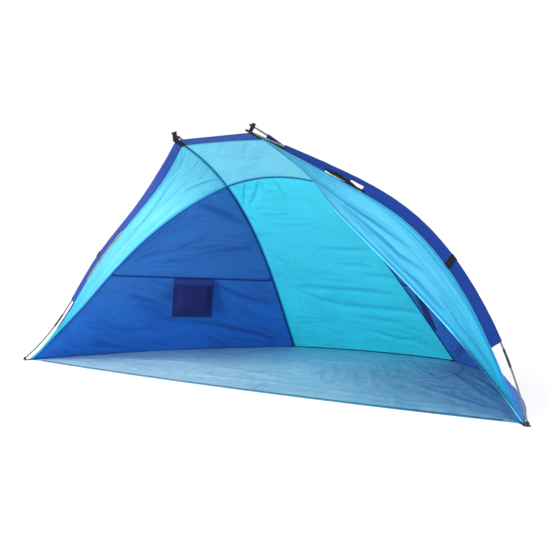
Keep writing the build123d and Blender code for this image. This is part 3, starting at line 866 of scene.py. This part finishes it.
# %% Side walls
upper = patch(side_seam.at, wing_seam.part(seam_on_wing, 1),
              lambda v: side_seam.at(np.zeros_like(np.asarray(v, dtype=float))),
              rib_line.part(seam_on_rib, crossing_on_rib))
lower = patch(floor_side.at, side_seam.at, wing_seam.part(0, seam_on_wing), rib_line.part(1, seam_on_rib))
upper_folds = [
    ([(0.786, 0.973), (0.87, 0.796), (0.99, 0.572)], 0.024, 0.007, 0.7),
    ([(0.62, 0.388), (0.87, 0.351), (0.98, 0.348)], 0.024, 0.006, 0.55),
    ([(0.33, 0.254), (0.475, 0.08)], 0.018, -0.005, 0.0),
    ([(0.2, 0.6), (0.5, 0.5), (0.8, 0.6)], 0.03, 0.005, 0.2),
]
lower_folds = [
    ([(0.187, 0.759), (0.311, 0.686), (0.43, 0.602)], 0.022, 0.006, 0.6),
    ([(0.26, 0.66), (0.435, 0.495)], 0.022, 0.005, 0.5),
    ([(0.6, 0.98), (0.789, 0.773), (0.973, 0.632)], 0.026, 0.007, 0.7),
    ([(0.508, 0.438), (0.696, 0.341), (0.853, 0.214), (0.97, 0.054)], 0.026, 0.007, 0.65),
    ([(0.1, 0.4), (0.3, 0.3), (0.5, 0.3)], 0.03, 0.006, 0.25),
]
sides = (("right", lambda surface: surface), ("left", flip))
for side, turn in sides:
    panel("side_wall_upper_cloth_" + side, turn(upper), 130, 90, blue, "blue_fabric",
          ["side_wall_upper_" + side], upper_folds, slow=0.005, seed=6,
          grain=[(-16, 0.30, 0.030, 0.0035, 0.45), (60, 0.3, 0.05, 0.0015, 0.15)])
    panel("side_wall_lower_cloth_" + side, turn(lower), 130, 90, blue, "blue_fabric",
          ["side_wall_lower_" + side], lower_folds, slow=0.005, seed=7,
          grain=[(-20, 0.34, 0.030, 0.0040, 0.50), (-34, 0.3, 0.04, 0.0020, 0.30)])

# %% [markdown]
# The wings are sewn to the sleeves of the front poles, so their outer edge runs a little beside
# the pole. It comes closer to the pole below the sleeve and again at the peak.

# %% Edges of a wing
foot_inset, sleeve_inset, sleeve_foot, peak_inset, peak_from = 0.026, 0.040, 0.225, 0.012, 0.94


def beside_pole(share, inset):
    """A point beside the pole, an inset away from it towards the wing's seam."""
    share = np.asarray(share, dtype=float)
    pole = pole_line.at(share)
    return pole + unit(wing_seam.at(share) - pole) * np.asarray(inset)[..., None]


def wing_edge(share):
    """The outer edge of the wing, a little inside the pole."""
    share = np.asarray(share, dtype=float)
    inset = foot_inset + (sleeve_inset - foot_inset) * np.clip(share / sleeve_foot, 0, 1)
    near_peak = np.clip((share - peak_from) / (1 - peak_from), 0, 1)
    return beside_pole(share, inset + (peak_inset - sleeve_inset) * near_peak)


def beside_rib(share):
    """The wing's upper end, which is sewn to the rib of the roof."""
    share = np.asarray(share, dtype=float)
    start = peak_inset / rib_line.length
    rib = rib_line.at(start + (crossing_on_rib - start) * share)
    return rib + (wing_edge(1) - rib_line.at(start)) * (1 - share)[..., None]


def wing_foot(share):
    """The wing's lower end, from its outer edge to the floor's corner."""
    return wing_edge(0) + (corner - wing_edge(0)) * np.asarray(share, dtype=float)[..., None]


wing = patch(wing_edge, wing_seam.at, wing_foot, beside_rib)

# %% Wings
wing_folds = {
    "right": [
        ([(0.925, 0.3), (0.9, 0.555), (0.819, 0.545), (0.702, 0.535), (0.592, 0.492), (0.518, 0.415)],
         0.013, 0.010, 0.9),
        ([(0.779, 0.669), (0.645, 0.702), (0.535, 0.702), (0.435, 0.502)], 0.014, 0.009, 0.8),
        ([(0.599, 0.896), (0.522, 0.87), (0.445, 0.813), (0.388, 0.819), (0.334, 0.766)], 0.013, 0.008, 0.75),
        ([(0.95, 0.776), (0.736, 0.79), (0.589, 0.833), (0.508, 0.85), (0.428, 0.736)], 0.012, -0.006, 0.0),
        ([(0.833, 0.161), (0.77, 0.1), (0.712, 0.067)], 0.008, 0.005, 0.5),
        ([(0.69, 0.05), (0.6, 0.12), (0.512, 0.13), (0.324, 0.12), (0.181, 0.12), (0.03, 0.2)],
         0.020, 0.003, 0.6),
        ([(0.31, 0.7), (0.298, 0.34)], 0.010, -0.006, 0.0),
        ([(0.276, 0.77), (0.261, 0.36)], 0.010, -0.006, 0.0),
        ([(0.246, 0.9), (0.231, 0.35)], 0.010, -0.005, 0.0),
        ([(0.405, 0.58), (0.3, 0.7), (0.18, 0.6), (0.08, 0.7)], 0.014, 0.007, 0.4),
    ],
    "left": [
        ([(0.99, 0.1), (0.866, 0.05), (0.702, 0.05), (0.602, 0.06), (0.4, 0.06), (0.2, 0.08)],
         0.016, 0.003, 0.75),
        ([(0.9, 0.2), (0.8, 0.25), (0.696, 0.401), (0.602, 0.52), (0.462, 0.582)], 0.010, 0.008, 0.6),
        ([(0.86, 0.62), (0.893, 0.649), (0.933, 0.692), (0.96, 0.739), (0.99, 0.823)], 0.009, 0.006, 0.7),
        ([(0.415, 0.344), (0.311, 0.488), (0.181, 0.7), (0.077, 0.7)], 0.014, 0.006, 0.35),
        ([(0.85, 0.8), (0.7, 0.85), (0.5, 0.8)], 0.014, -0.005, 0.0),
    ],
}
# Each wing takes its own copy of the cloth, with painted shade on the right and painted light on the left.
for side, turn in sides:
    panel("wing_cloth_" + side, turn(wing), 260, 80, wing_cyan_painted_light_and_shade[side], "cyan_fabric", ["wing_" + side],
          wing_folds[side], slow=0.004, pucker=0.003, wave_size=0.16, seed=8, ease=0.03, slanting=True,
          grain=[(0, 0.5, 0.022, 0.0028, 0.40), (-8, 0.3, 0.034, 0.0020, 0.25)])
print("panels:", {name: np.round(size, 3).tolist() for name, size in flat_sizes.items()})

# %% [markdown]
# The floor lies on the ground with its front edge folded over and stitched. Its ripples fan out
# from the corners, where the pegs pull it. It is made like the other panels, and the few places
# that its waves would put below the ground are turned up afterwards.

# %% Groundsheet
floor_surface = patch(floor_front.at, lambda u: floor_back.at(1 - np.asarray(u)),
                      flip(floor_side.at), floor_side.at)
below = np.array([0, 0, -50.0])
floor_thickness, lowest_floor = 0.0016, 0.0002
floor_folds = [
    ([(0.97, 0.95), (0.9, 0.7), (0.82, 0.45)], 0.018, 0.004, 0.3),
    ([(0.985, 0.1), (0.93, 0.3), (0.88, 0.55), (0.84, 0.8)], 0.016, 0.004, 0.5),
    ([(0.985, 0.16), (0.95, 0.4), (0.92, 0.7)], 0.014, 0.004, 0.45),
    ([(0.975, 0.08), (0.86, 0.24), (0.74, 0.42)], 0.020, 0.005, 0.3),
    ([(0.03, 0.95), (0.12, 0.7), (0.2, 0.45)], 0.020, 0.007, 0.3),
    ([(0.05, 0.2), (0.3, 0.3), (0.6, 0.2)], 0.030, 0.005, 0.2),
    ([(0.3, 0.12), (0.6, 0.14), (0.9, 0.1)], 0.020, 0.005, 0.25),
    ([(0.2, 0.7), (0.5, 0.6), (0.75, 0.7)], 0.025, 0.006, 0.2),
]
panel("groundsheet_cloth", floor_surface, 200, 130, floor_cloth, "woven_floor", ["groundsheet"], floor_folds,
      slow=0.0035, pucker=0.0, thickness=floor_thickness, inside=below, shift=lowest_floor, seed=11,
      ease=0.08, grain=[(-62, 0.4, 0.04, 0.0035, 0.35), (12, 0.5, 0.05, 0.0025, 0.25)])

# %% Turn up the places that would lie below the ground
turned_up, kept_share = 0, 0.3
for vert in bpy.data.objects["groundsheet_cloth"].data.vertices:
    if vert.co.z < lowest_floor:
        vert.co.z = lowest_floor + (lowest_floor - vert.co.z) * kept_share
        turned_up += 1
print("points of the floor turned up:", turned_up)

# %% The floor's folded front hem
hem_start, hem_width, hem_trim, hem_rise = 0.0013, 0.026, 0.03, 0.0007


def hem_place(u, v):
    """A narrow strip on the floor along its front edge, short of the corners."""
    back_from_edge = hem_start + (hem_width - hem_start) * v
    offset = np.stack([np.zeros_like(v), back_from_edge, np.full_like(v, floor_thickness + hem_rise)], axis=1)
    return floor_front.at(hem_trim + (1 - 2 * hem_trim) * u) + offset


panel("groundsheet_hem_cloth", hem_place, 220, 8, floor_hem, "woven_floor", ["groundsheet_front_hem"],
      slow=0.0, pucker=0.0006, inside=below, seed=12, ease=0.01)

# %% [markdown]
# Bindings, sleeves and straps are strips that follow a line. One helper sweeps an outline along
# a line: a flat grid is rolled up around it, its two long sides are merged, and the ends are
# closed, or left open for a sleeve.

# %% Sweep an outline along a line
def swept(name, centre, across, up, outline, material, slot_name, nodes=(), capped=True,
          swell=None, edge=1.0):
    """A strip with the given outline, in steps across and up, at each place along a line."""
    outline = np.array(outline)
    around = np.concatenate([[0], np.cumsum(np.linalg.norm(np.diff(outline, axis=0), axis=1))])
    steps = np.concatenate([[0], np.cumsum(np.linalg.norm(np.diff(centre, axis=0), axis=1))])
    work, u, v = grid(len(outline) - 1, len(centre) - 1)
    column = np.rint(u * (len(outline) - 1)).astype(int)
    row = np.rint(v * (len(centre) - 1)).astype(int)
    shape = outline[column]
    if swell is not None:
        shape = shape * (1 + swell(around[column], steps[row]))[:, None]
    spots = centre[row] + across[row] * shape[:, :1] + up[row] * shape[:, 1:]
    for vert, spot in zip(work.verts, spots):
        vert.co = spot
    lay_map(work, around[column], steps[row])
    tag(work, edge=np.asarray(edge)[column] if np.ndim(edge) else edge, run=steps[row], crease=0.0)
    bmesh.ops.remove_doubles(work, verts=work.verts, dist=0.00001)
    if capped:
        bmesh.ops.holes_fill(work, edges=[side for side in work.edges if side.is_boundary], sides=0)
    bmesh.ops.recalc_face_normals(work, faces=work.faces)
    return finished(name, work, material, slot_name, *nodes)


def lens(half_width, half_height, count=16, squareness=1.0):
    """A closed flat outline, round for squareness 1 and boxy for less."""
    turn = np.linspace(0, 2 * np.pi, count + 1)
    bent = lambda values: np.sign(values) * np.abs(values) ** squareness
    return np.stack([half_width * bent(np.cos(turn)), half_height * bent(np.sin(turn))], axis=1)


def frames_along(line, shares):
    """Middle points of a line, with directions square to it: outward, and sideways."""
    centre, along = line.at(shares), line.along(shares)
    outward = unit(centre - heart)
    outward = unit(outward - along * (outward * along).sum(axis=1, keepdims=True))
    return centre, outward, unit(np.cross(along, outward))


# %% [markdown]
# Every seam is covered with a folded tape, and so is the edge where the walls meet the floor. A
# tape's outline is a flat oval. A plain tube would do from far off, but a sewn tape is never
# even, so it is a little thicker and thinner along its way.

# %% Bindings and tapes
def small_swell(seed, amount=0.10):
    """Small thick and thin places along a strip."""
    along_size, around_size = 0.018, 0.01

    def swell(around, run):
        return amount * waves(np.stack([run / along_size, around / around_size, around * 0], axis=1), 1, seed)
    return swell


def binding(name, line, start, end, nodes=(), outline=lens(0.0033, 0.0026), material=tape, lift=0.0,
            rise=0.0, turn=1, seed=20):
    """A tape along a part of a line, moved outward by its lift and up by its rise."""
    station = 0.008
    shares = np.linspace(start, end, max(int(line.length * (end - start) / station), 12))
    centre, outward, sideways = (values * turn for values in frames_along(line, shares))
    middle = centre + outward * lift + [0, 0, rise]
    return swept(name, middle, outward, sideways, outline, material, "seam_tape", nodes,
                 swell=small_swell(seed))


trim = 0.002
binding("ridge_tape", ridge, trim, 1 - trim, ["ridge_binding"])
floor_tape = {"outline": lens(0.0030, 0.0024), "lift": -0.004, "rise": 0.0042}
# The tape along the foot of the back wall is dark navy and makes a dark line where the wall meets the floor.
binding("back_floor_tape", floor_back, 0.005, 0.995, **floor_tape)
both_sides = (("right", 1), ("left", mirror))
for side, turn in both_sides:
    binding("rib_tape_" + side, rib_line, 0.004, 0.995, ["rib_binding_" + side], turn=turn, seed=21)
    binding("wing_tape_" + side, wing_seam, 0.004, 0.996, ["wing_binding_" + side], turn=turn, seed=22,
            material=wing_tape[side])
    binding("cross_tape_" + side, side_seam, 0.004, 0.996, ["side_seam_tape_" + side], turn=turn, seed=23)
    binding("side_floor_tape_" + side, floor_side, 0.01, 0.995, material=wing_tape["left"], turn=turn,
            seed=24, **floor_tape)
print("tapes sewn")

# %% [markdown]
# A sleeve is a strip of cloth folded round a pole and stitched down beside it. Its outline is a
# drop: round over the pole, then two layers that lie flat on each other up to the stitches. It
# is left open at its ends, and the right one has two vents beside the pole.

# %% Outline of a sleeve
pole_outer, sleeve_wall, stitched_half = 0.0062, 0.0007, 0.0012


def drop(radius, deep, half_end, steps=14):
    """A drop's outline from the stitched edge, along one layer, round the pole and back."""
    turn = np.linspace(np.pi / 2, 3 * np.pi / 2, steps)
    bow = np.stack([radius * np.cos(turn), radius * np.sin(turn)], axis=1)
    out = np.linspace(0, 1, steps + 1)[1:]
    drape = half_end + (radius - half_end) * (1 - fade(out, 0.55))
    upper_layer = np.stack([deep * out, drape], axis=1)
    lower_layer = upper_layer * [1, -1]
    return np.concatenate([upper_layer[::-1], bow, lower_layer, upper_layer[-1:]])


def crinkled(seed, amount):
    """Cross creases in a sleeve, outward only and least at the stitches."""
    along_size, around_size = 0.024, 0.05

    def swell(around, run):
        loose = np.sin(np.pi * around / around.max()) ** 2
        crease = waves(np.stack([run / along_size, around / around_size, around * 0], axis=1), 1, seed)
        return amount * loose * np.clip(crease + 0.3, 0, 1)
    return swell


def sleeve(name, node, centre, inward, normal, material, deep, seed):
    """A sleeve round a pole that reaches as deep over the cloth beside it."""
    outline = drop(pole_outer, deep, stitched_half)
    stitched = np.abs(deep - outline[:, 0])
    piece = swept(name, centre, inward, normal, outline, material, "navy_fabric", [node], capped=False,
                  swell=crinkled(seed, 0.12), edge=stitched)
    run = float(np.linalg.norm(np.diff(centre, axis=0), axis=1).sum())
    girth = float(np.linalg.norm(np.diff(outline, axis=0), axis=1).sum())
    flat_sizes[name] = (girth, run, girth * run)
    thicken(piece, sleeve_wall, -1)
    return piece


def pole_frames(shares):
    """Middle points of the front pole, and directions inward over the wing and square to it."""
    centre = pole_line.at(shares)
    inward = unit(wing_seam.at(shares) - centre)
    normal = unit(np.cross(pole_line.along(shares), inward))
    return centre, inward, normal * np.sign(((centre - heart) * normal).sum(axis=1, keepdims=True))


# %% Cut vents through a sleeve
def cut_vents(piece, vents):
    """Takes out faces between two shares of the pole and two distances from it, for each vent."""
    work = bmesh.new()
    work.from_mesh(piece.data)
    for low, high, near, far in vents:
        gone = []
        for face in work.faces:
            middle = np.array(face.calc_center_median()[:])
            share = nearest_share(pole_line, middle)
            away = (middle - pole_line.at(share)) @ unit(wing_seam.at(share) - pole_line.at(share))
            if low < share < high and near < away < far:
                gone.append(face)
        bmesh.ops.delete(work, geom=gone, context="FACES")
        print("vent of", len(gone), "faces")
    work.to_mesh(piece.data)
    work.free()


# %% Front sleeves with the vents of the right one
sleeve_deep, left_sleeve_end = 0.0406, 0.992
start_shift, end_shift = {"right": -0.014, "left": 0.028}, -0.012
# The left sleeve takes the navy painted paler for the light through it.
sleeve_cloth = {"right": navy, "left": navy_painted_light}
for side, turn in both_sides:
    start, end = reach("front_sleeve_" + side, Line(pole_line.points * turn))
    start += start_shift[side]
    end = end + end_shift if side == "right" else left_sleeve_end
    shares = np.linspace(start, end, 330)
    centre, inward, normal = (values * turn for values in pole_frames(shares))
    piece = sleeve("front_sleeve_cloth_" + side, "front_sleeve_" + side, centre, inward, normal,
                   sleeve_cloth[side], sleeve_deep, seed=31)
    if side == "right":
        cut_vents(piece, [(0.703, 0.738, 0.014, 0.038), (0.758, 0.806, 0.013, 0.038)])
    print(side, "sleeve from", round(start, 3), "to", round(end, 3))

# %% Rib sleeves on the outside of the dome
gap_to_rib = 0.0035
for side, turn in both_sides:
    start, end = reach("rib_sleeve_" + side, Line(rear_line.points * turn))
    shares = np.linspace(start, end, 220)
    centre, outward, sideways = frames_along(rear_line, shares)
    to_rib = np.array([rib_line.at(nearest_share(rib_line, place)) for place in centre]) - centre
    depth_here = float(np.linalg.norm(to_rib, axis=1).mean())
    inward = unit(to_rib)
    normal = unit(np.cross(rear_line.along(shares), inward))
    sleeve("rib_sleeve_cloth_" + side, "rib_sleeve_" + side, centre * turn, inward * turn,
           normal * turn, navy, depth_here - gap_to_rib, seed=34)
print("rib sleeves stand", round(depth_here, 4), "m off the ribs")

# %% [markdown]
# Short bands of webbing are wrapped round the front sleeves. A strip of tape edges the left wing
# below its sleeve, a tan piping lies beside the left sleeve, and on the right the webbing of
# the peak is folded over the wing's upper end.

# %% Bands, edgings and piping
band_depth = {"right": 0.0404, "left": 0.011}
band_play, band_half_end, band_wall = 0.0016, 0.0030, 0.0012
for side, turn in both_sides:
    start, end = reach("sleeve_strap_" + side, Line(pole_line.points * turn))
    shares = np.linspace(start + 0.004, end + 0.002, 10)
    centre, inward, normal = (values * turn for values in pole_frames(shares))
    outline = drop(pole_outer + band_play, band_depth[side], band_half_end)
    piece = swept("sleeve_band_" + side, centre, inward, normal, outline, webbing, "black_webbing",
                  ["sleeve_strap_" + side], capped=False)
    thicken(piece, band_wall)


def strip_beside_pole(name, start, end, middle, half, height, material, slot_name, turn=1, raised=0.0):
    """A strip between two shares of the pole. Its middle and half width may change along it."""
    shares = np.linspace(start, end, 60)
    centre, inward, normal = pole_frames(shares)
    middle = np.interp(shares, np.linspace(start, end, len(middle)), middle)[:, None]
    half = np.interp(shares, np.linspace(start, end, len(half)), half)[:, None]
    return swept(name, (centre + inward * middle + normal * raised) * turn, inward * half * turn,
                 normal * height * turn, lens(1.0, 1.0, 24, 0.5), material, slot_name,
                 swell=small_swell(42, 0.05))


# The left wing's edging takes the navy painted paler for the light through it.
strip_beside_pole("left_wing_edging", 0.15, 0.252, [0.040, 0.042], [0.006, 0.009], 0.0030,
                  navy_painted_light, "navy_fabric", mirror, 0.001)
strip_beside_pole("left_sleeve_piping", 0.34, 0.55, [0.0415, 0.0415], [0.0026, 0.0026], 0.0026,
                  piping, "navy_fabric", mirror, 0.003)
strip_beside_pole("right_peak_wrap", 0.916, 1.0, [0.023, 0.014], [0.020, 0.012], 0.0018,
                  webbing, "black_webbing", 1, 0.001)
# Black webbing under the right sleeve's vents, which also stands in for the shade inside them.
strip_beside_pole("vent_webbing_and_shade_right", 0.700, 0.816, [0.034, 0.035, 0.030, 0.026, 0.024, 0.023],
                  [0.005, 0.005, 0.010, 0.0135, 0.0135, 0.009], 0.0016, webbing, "black_webbing")
strip_beside_pole("vent_rod_right", 0.757, 0.803, [0.0345, 0.0335], [0.0022, 0.0022], 0.0022,
                  fibreglass, "fibreglass", 1, 0.0022)
print("bands and edgings in place")

# %% [markdown]
# The straps at the peaks and the tabs at the floor's corners are cut from webbing and have a
# hole. Each is a fine grid: the faces within the hole are taken out and the points around it
# are moved onto a circle, and then the strip gets its thickness.

# %% Webbing with a hole
tab_thickness, tab_width, map_length, near_hole = 0.0016, 0.025, 0.06, 1.7


def pierced(name, columns, rows, place, hole, radius, nodes):
    """A strip of webbing over place(across, up), with a round hole."""
    work, u, v = grid(columns, rows)
    spots = place(u, v)
    for vert, spot in zip(work.verts, spots):
        vert.co = spot
    lay_map(work, u * tab_width, v * map_length)
    tag(work, edge=1.0, run=0.0, crease=0.0)
    bmesh.ops.remove_doubles(work, verts=work.verts, dist=0.00001)
    hole = Vector(hole)
    inner = [face for face in work.faces if (face.calc_center_median() - hole).length < radius]
    bmesh.ops.delete(work, geom=inner, context="FACES")
    for vert in work.verts:
        if vert.is_boundary and (vert.co - hole).length < radius * near_hole:
            vert.co = hole + (vert.co - hole).normalized() * radius
    bmesh.ops.recalc_face_normals(work, faces=work.faces)
    return thicken(finished(name, work, webbing, "black_webbing", *nodes), tab_thickness, 0)


# %% Peak straps
strap_low, strap_high, strap_back, strap_front = -0.0061, 0.0365, -0.050, 0.0148
strap_bend, strap_width, strap_hole = 0.004, 0.022, 0.0039
forward = -rib_line.along(0.0)
rise = unit(peak - heart)
rise = unit(rise - forward * (rise @ forward))
cross = np.cross(forward, rise)
turns = np.linspace(0, np.pi / 2, 8)
strap_path = [(far, strap_low) for far in (strap_back, -0.035, -0.02, -0.01, 0.0)]
strap_path += [(strap_front - strap_bend + strap_bend * np.sin(turn),
                strap_low + strap_bend - strap_bend * np.cos(turn)) for turn in turns]
strap_path += [(strap_front, high) for high in (0.01, 0.02, 0.03, strap_high)]
strap_line = Line([peak + forward * far + rise * high for far, high in strap_path], 300)
rear_top = rear_line.at(nearest_share(rear_line, peak))
pole_way = -rear_line.along(0.02)
gap_to_flap = ((peak + forward * strap_front) - rear_top) @ forward / (pole_way @ forward)
flap_hole = rear_top + pole_way * gap_to_flap
for side, turn in both_sides:
    pierced("peak_webbing_" + side, 16, 60,
            lambda u, v: (strap_line.at(v) + cross * ((u - 0.5) * strap_width)[:, None]) * turn,
            flap_hole * turn, strap_hole, ["peak_strap_" + side])

# %% Corner tabs
floor_corners = {"front": corner, "rear": heel}
tab_overlap, tab_rise, tab_hole = 0.026, 0.0011, 0.0045
for side, turn in both_sides:
    for end, sheet_corner in floor_corners.items():
        pin_low, pin_high = (np.array(place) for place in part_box(end + "_foot_pin_" + side))
        hole = (pin_low + pin_high) / 2 * [1, 1, 0] + [0, 0, floor_thickness + tab_rise]
        way = sheet_corner * turn * [1, 1, 0] - hole * [1, 1, 0]
        run = float(np.linalg.norm(way)) + tab_overlap
        way = unit(way)
        sideways = np.array([-way[1], way[0], 0])

        # A strip from the hole to the sheet, with a round end about the hole.
        def tab_place(u, v, hole=hole, way=way, run=run, sideways=sideways):
            half = tab_width / 2
            far = v * (run + half) - half
            wide = np.sqrt(np.clip(half ** 2 - np.minimum(far, 0) ** 2, 0, None))
            return hole + way * far[:, None] + sideways * ((u - 0.5) * 2 * wide)[:, None]

        pierced(end + "_tab_webbing_" + side, 20, 40, tab_place, hole, tab_hole,
                [end + "_corner_tab_" + side])
print("straps and tabs in place")

# %% [markdown]
# Each pocket is a flat cloth that hangs from the cross seam, with a mesh pouch stitched to it
# along its sides and bottom. The pouch is gusseted, so it gapes at its mouth. A pouch could be
# a bent box, but a panel with a soft rise inside its border keeps the border flat and stitched.
# The measured model gives the flat cloth as a thin box, and the box's own axes are read from its
# corners.

# %% Pockets
pocket_border, pocket_gusset, pocket_mouth = 0.010, 0.040, 0.033
pocket_gape = {"right": 0.013, "left": 0.017}
pocket_width, pocket_height, pocket_shift = 0.222, 0.205, 0.010
pouch_share = (pocket_height - pocket_mouth) / pocket_height
top_reach, pouch_sag, pouch_start = 0.03, 0.004, 0.0024
for side in ("right", "left"):
    spots = node_spots("pocket_sheet_" + side)
    middle = (spots.max(axis=0) + spots.min(axis=0)) / 2
    top_corners = spots[spots[:, 2] > spots[:, 2].max() - top_reach]
    ends = top_corners[np.argmin(top_corners[:, 1])], top_corners[np.argmax(top_corners[:, 1])]
    sideways = unit(ends[1] - ends[0])
    offsets = spots - middle
    flat_axes = np.linalg.svd(offsets - offsets.mean(axis=0))[2]
    inward = flat_axes[2] * -np.sign(flat_axes[2] @ (middle - heart))
    sideways = unit(sideways - inward * (sideways @ inward))
    upward = np.cross(inward, sideways)
    upward = upward * np.sign(upward[2])
    middle = middle - sideways * pocket_shift

    # Points at a level in front of the flat cloth, from shares of its width and height.
    def on_cloth(u, v, level, middle=middle, sideways=sideways, upward=upward, inward=inward):
        across, up = (u - 0.5) * pocket_width, (v - 0.5) * pocket_height
        flat = middle + sideways * across[:, None] + upward * up[:, None]
        return flat + inward * np.asarray(level)[..., None]

    panel("pocket_flat_cloth_" + side, lambda u, v: on_cloth(u, v, np.zeros_like(u)), 40, 36,
          band_cloth, "pocket_trim", ["pocket_sheet_" + side], slow=0.0003, pucker=0.0,
          inside=middle - inward, seed=50, ease=0.02, thickness=0.0008)

    # The pouch rises inside its border and sags a little at its mouth.
    def pouch(u, v):
        from_side = np.minimum(u, 1 - u) * pocket_width - pocket_border
        from_bottom = v * (pocket_height - pocket_mouth) - pocket_border
        gape = fade(from_side, pocket_gusset) * fade(from_bottom, pocket_gusset)
        sag = pouch_sag * np.sin(np.pi * u) * fade(v, 1.0)
        return on_cloth(u, v * pouch_share - sag / pocket_height, pouch_start + pocket_gape[side] * gape)

    panel("pocket_pouch_" + side, pouch, 70, 60, mesh_cloth, "pocket_mesh", ["pocket_" + side], slow=0.0012,
          pucker=0.0008, wave_size=0.07, inside=middle - inward, seed=52, ease=0.02, thickness=0.0009)
    print(side, "pocket faces", inward.round(2), "and hangs", upward.round(2))

# %% [markdown]
# The hard pieces are turned or moulded on the real shelter, and the measured model holds their
# true shape, so they are shown as they are and only get their finish here. The words in a
# piece's name say what it is made of, and the first words that fit count.

# %% Finishes of the measured pieces
for name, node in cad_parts.items():
    for words, material in (("pole_cap", black_plastic), ("pole", fibreglass), ("ferrules", dark_steel),
                            ("foot_pin", black_plastic), ("eyelets", bright_steel)):
        if words in name:
            for number in range(len(node.material_slots)):
                node.material_slots[number].material = material
            break

# %% [markdown]
# The studio is plain: a pale floor, white all around as the camera sees it, even light from the
# whole sky and three soft lamps. One stands low in front of the opening and lights the ceiling,
# as the bright ground does outdoors. A floor in lamp light fades to grey far off, where a white
# background would end in a horizon, so the camera sees it glow a little, and more with distance.

# %% Floor and background
floor_mesh = bpy.data.meshes.new("floor")
work = bmesh.new()
floor_half = 40
bmesh.ops.create_grid(work, x_segments=1, y_segments=1, size=floor_half)
work.to_mesh(floor_mesh)
work.free()
ground = bpy.data.objects.new("floor", floor_mesh)
bpy.context.scene.collection.objects.link(ground)
paint, nodes, shader, cloth, place = start_material("floor_paint", 0.95, Specular_IOR_Level=0.0)
paint_shade = placed(nodes, shade_group, Place=place, Per_metre=1.5, Amount=0.02)
nodes.give(shader.inputs["Base Color"], times(nodes, (0.86, 0.86, 0.86, 1.0), paint_shade["Shade"]))
shader.inputs["Emission Color"].default_value = (1, 1, 1, 1)
from_middle = nodes.add("VectorMath", operation="LENGTH")
nodes.give(from_middle.inputs[0], place)
near, far, near_glow, far_glow = 1.6, 5.0, 0.34, 0.60
glow = nodes.remap(from_middle.outputs["Value"], near, far, near_glow, far_glow)
nodes.give(shader.inputs["Emission Strength"],
           nodes.maths("MULTIPLY", nodes.add("LightPath").outputs["Is Camera Ray"], glow))
floor_mesh.materials.append(paint)

world = bpy.data.worlds.new("world")
bpy.context.scene.world = world
world.use_nodes = True
nodes = Nodes(world.node_tree)
rays = nodes.add("LightPath")
seen = nodes.maths("MAXIMUM", rays.outputs["Is Camera Ray"],
                   nodes.maths("MAXIMUM", rays.outputs["Is Glossy Ray"], rays.outputs["Is Transmission Ray"]))
sky_strength = 0.62
background = world.node_tree.nodes["Background"]
background.inputs["Color"].default_value = (1, 1, 1, 1)
nodes.give(background.inputs["Strength"], nodes.remap(seen, 0, 1, sky_strength, 1.0, "LINEAR"))
bpy.context.scene.view_settings.view_transform = "Standard"


# %% Lamps
def lamp(name, location, target, strength, size):
    """A square soft lamp aimed at a point. It isn't seen by the camera."""
    data = bpy.data.lights.new(name, "AREA")
    data.energy = strength
    data.size = size
    piece = bpy.data.objects.new(name, data)
    piece.location = location
    piece.rotation_euler = (Vector(target) - Vector(location)).to_track_quat("-Z", "Y").to_euler()
    piece.visible_camera = False
    piece.visible_glossy = False
    bpy.context.scene.collection.objects.link(piece)
    print(name, "of", strength, "watts, size", size)


lamp("high_lamp", (-2.2, -2.6, 3.6), (0, 0.4, 0.4), 100, 2.4)
lamp("low_lamp", (0.4, -3.0, 0.45), (0, 0.6, 0.5), 66, 1.0)
lamp("right_lamp", (3.6, -1.2, 1.6), (-0.4, 0.5, 0.4), 50, 1.6)

# %% [markdown]
# Last, every sheet of cloth says the size that it was cut to.

# %% Flat sizes of the sheets
for name, (width, length, area) in flat_sizes.items():
    print(name, "cut", round(width, 3), "x", round(length, 3), "area", round(area, 3))
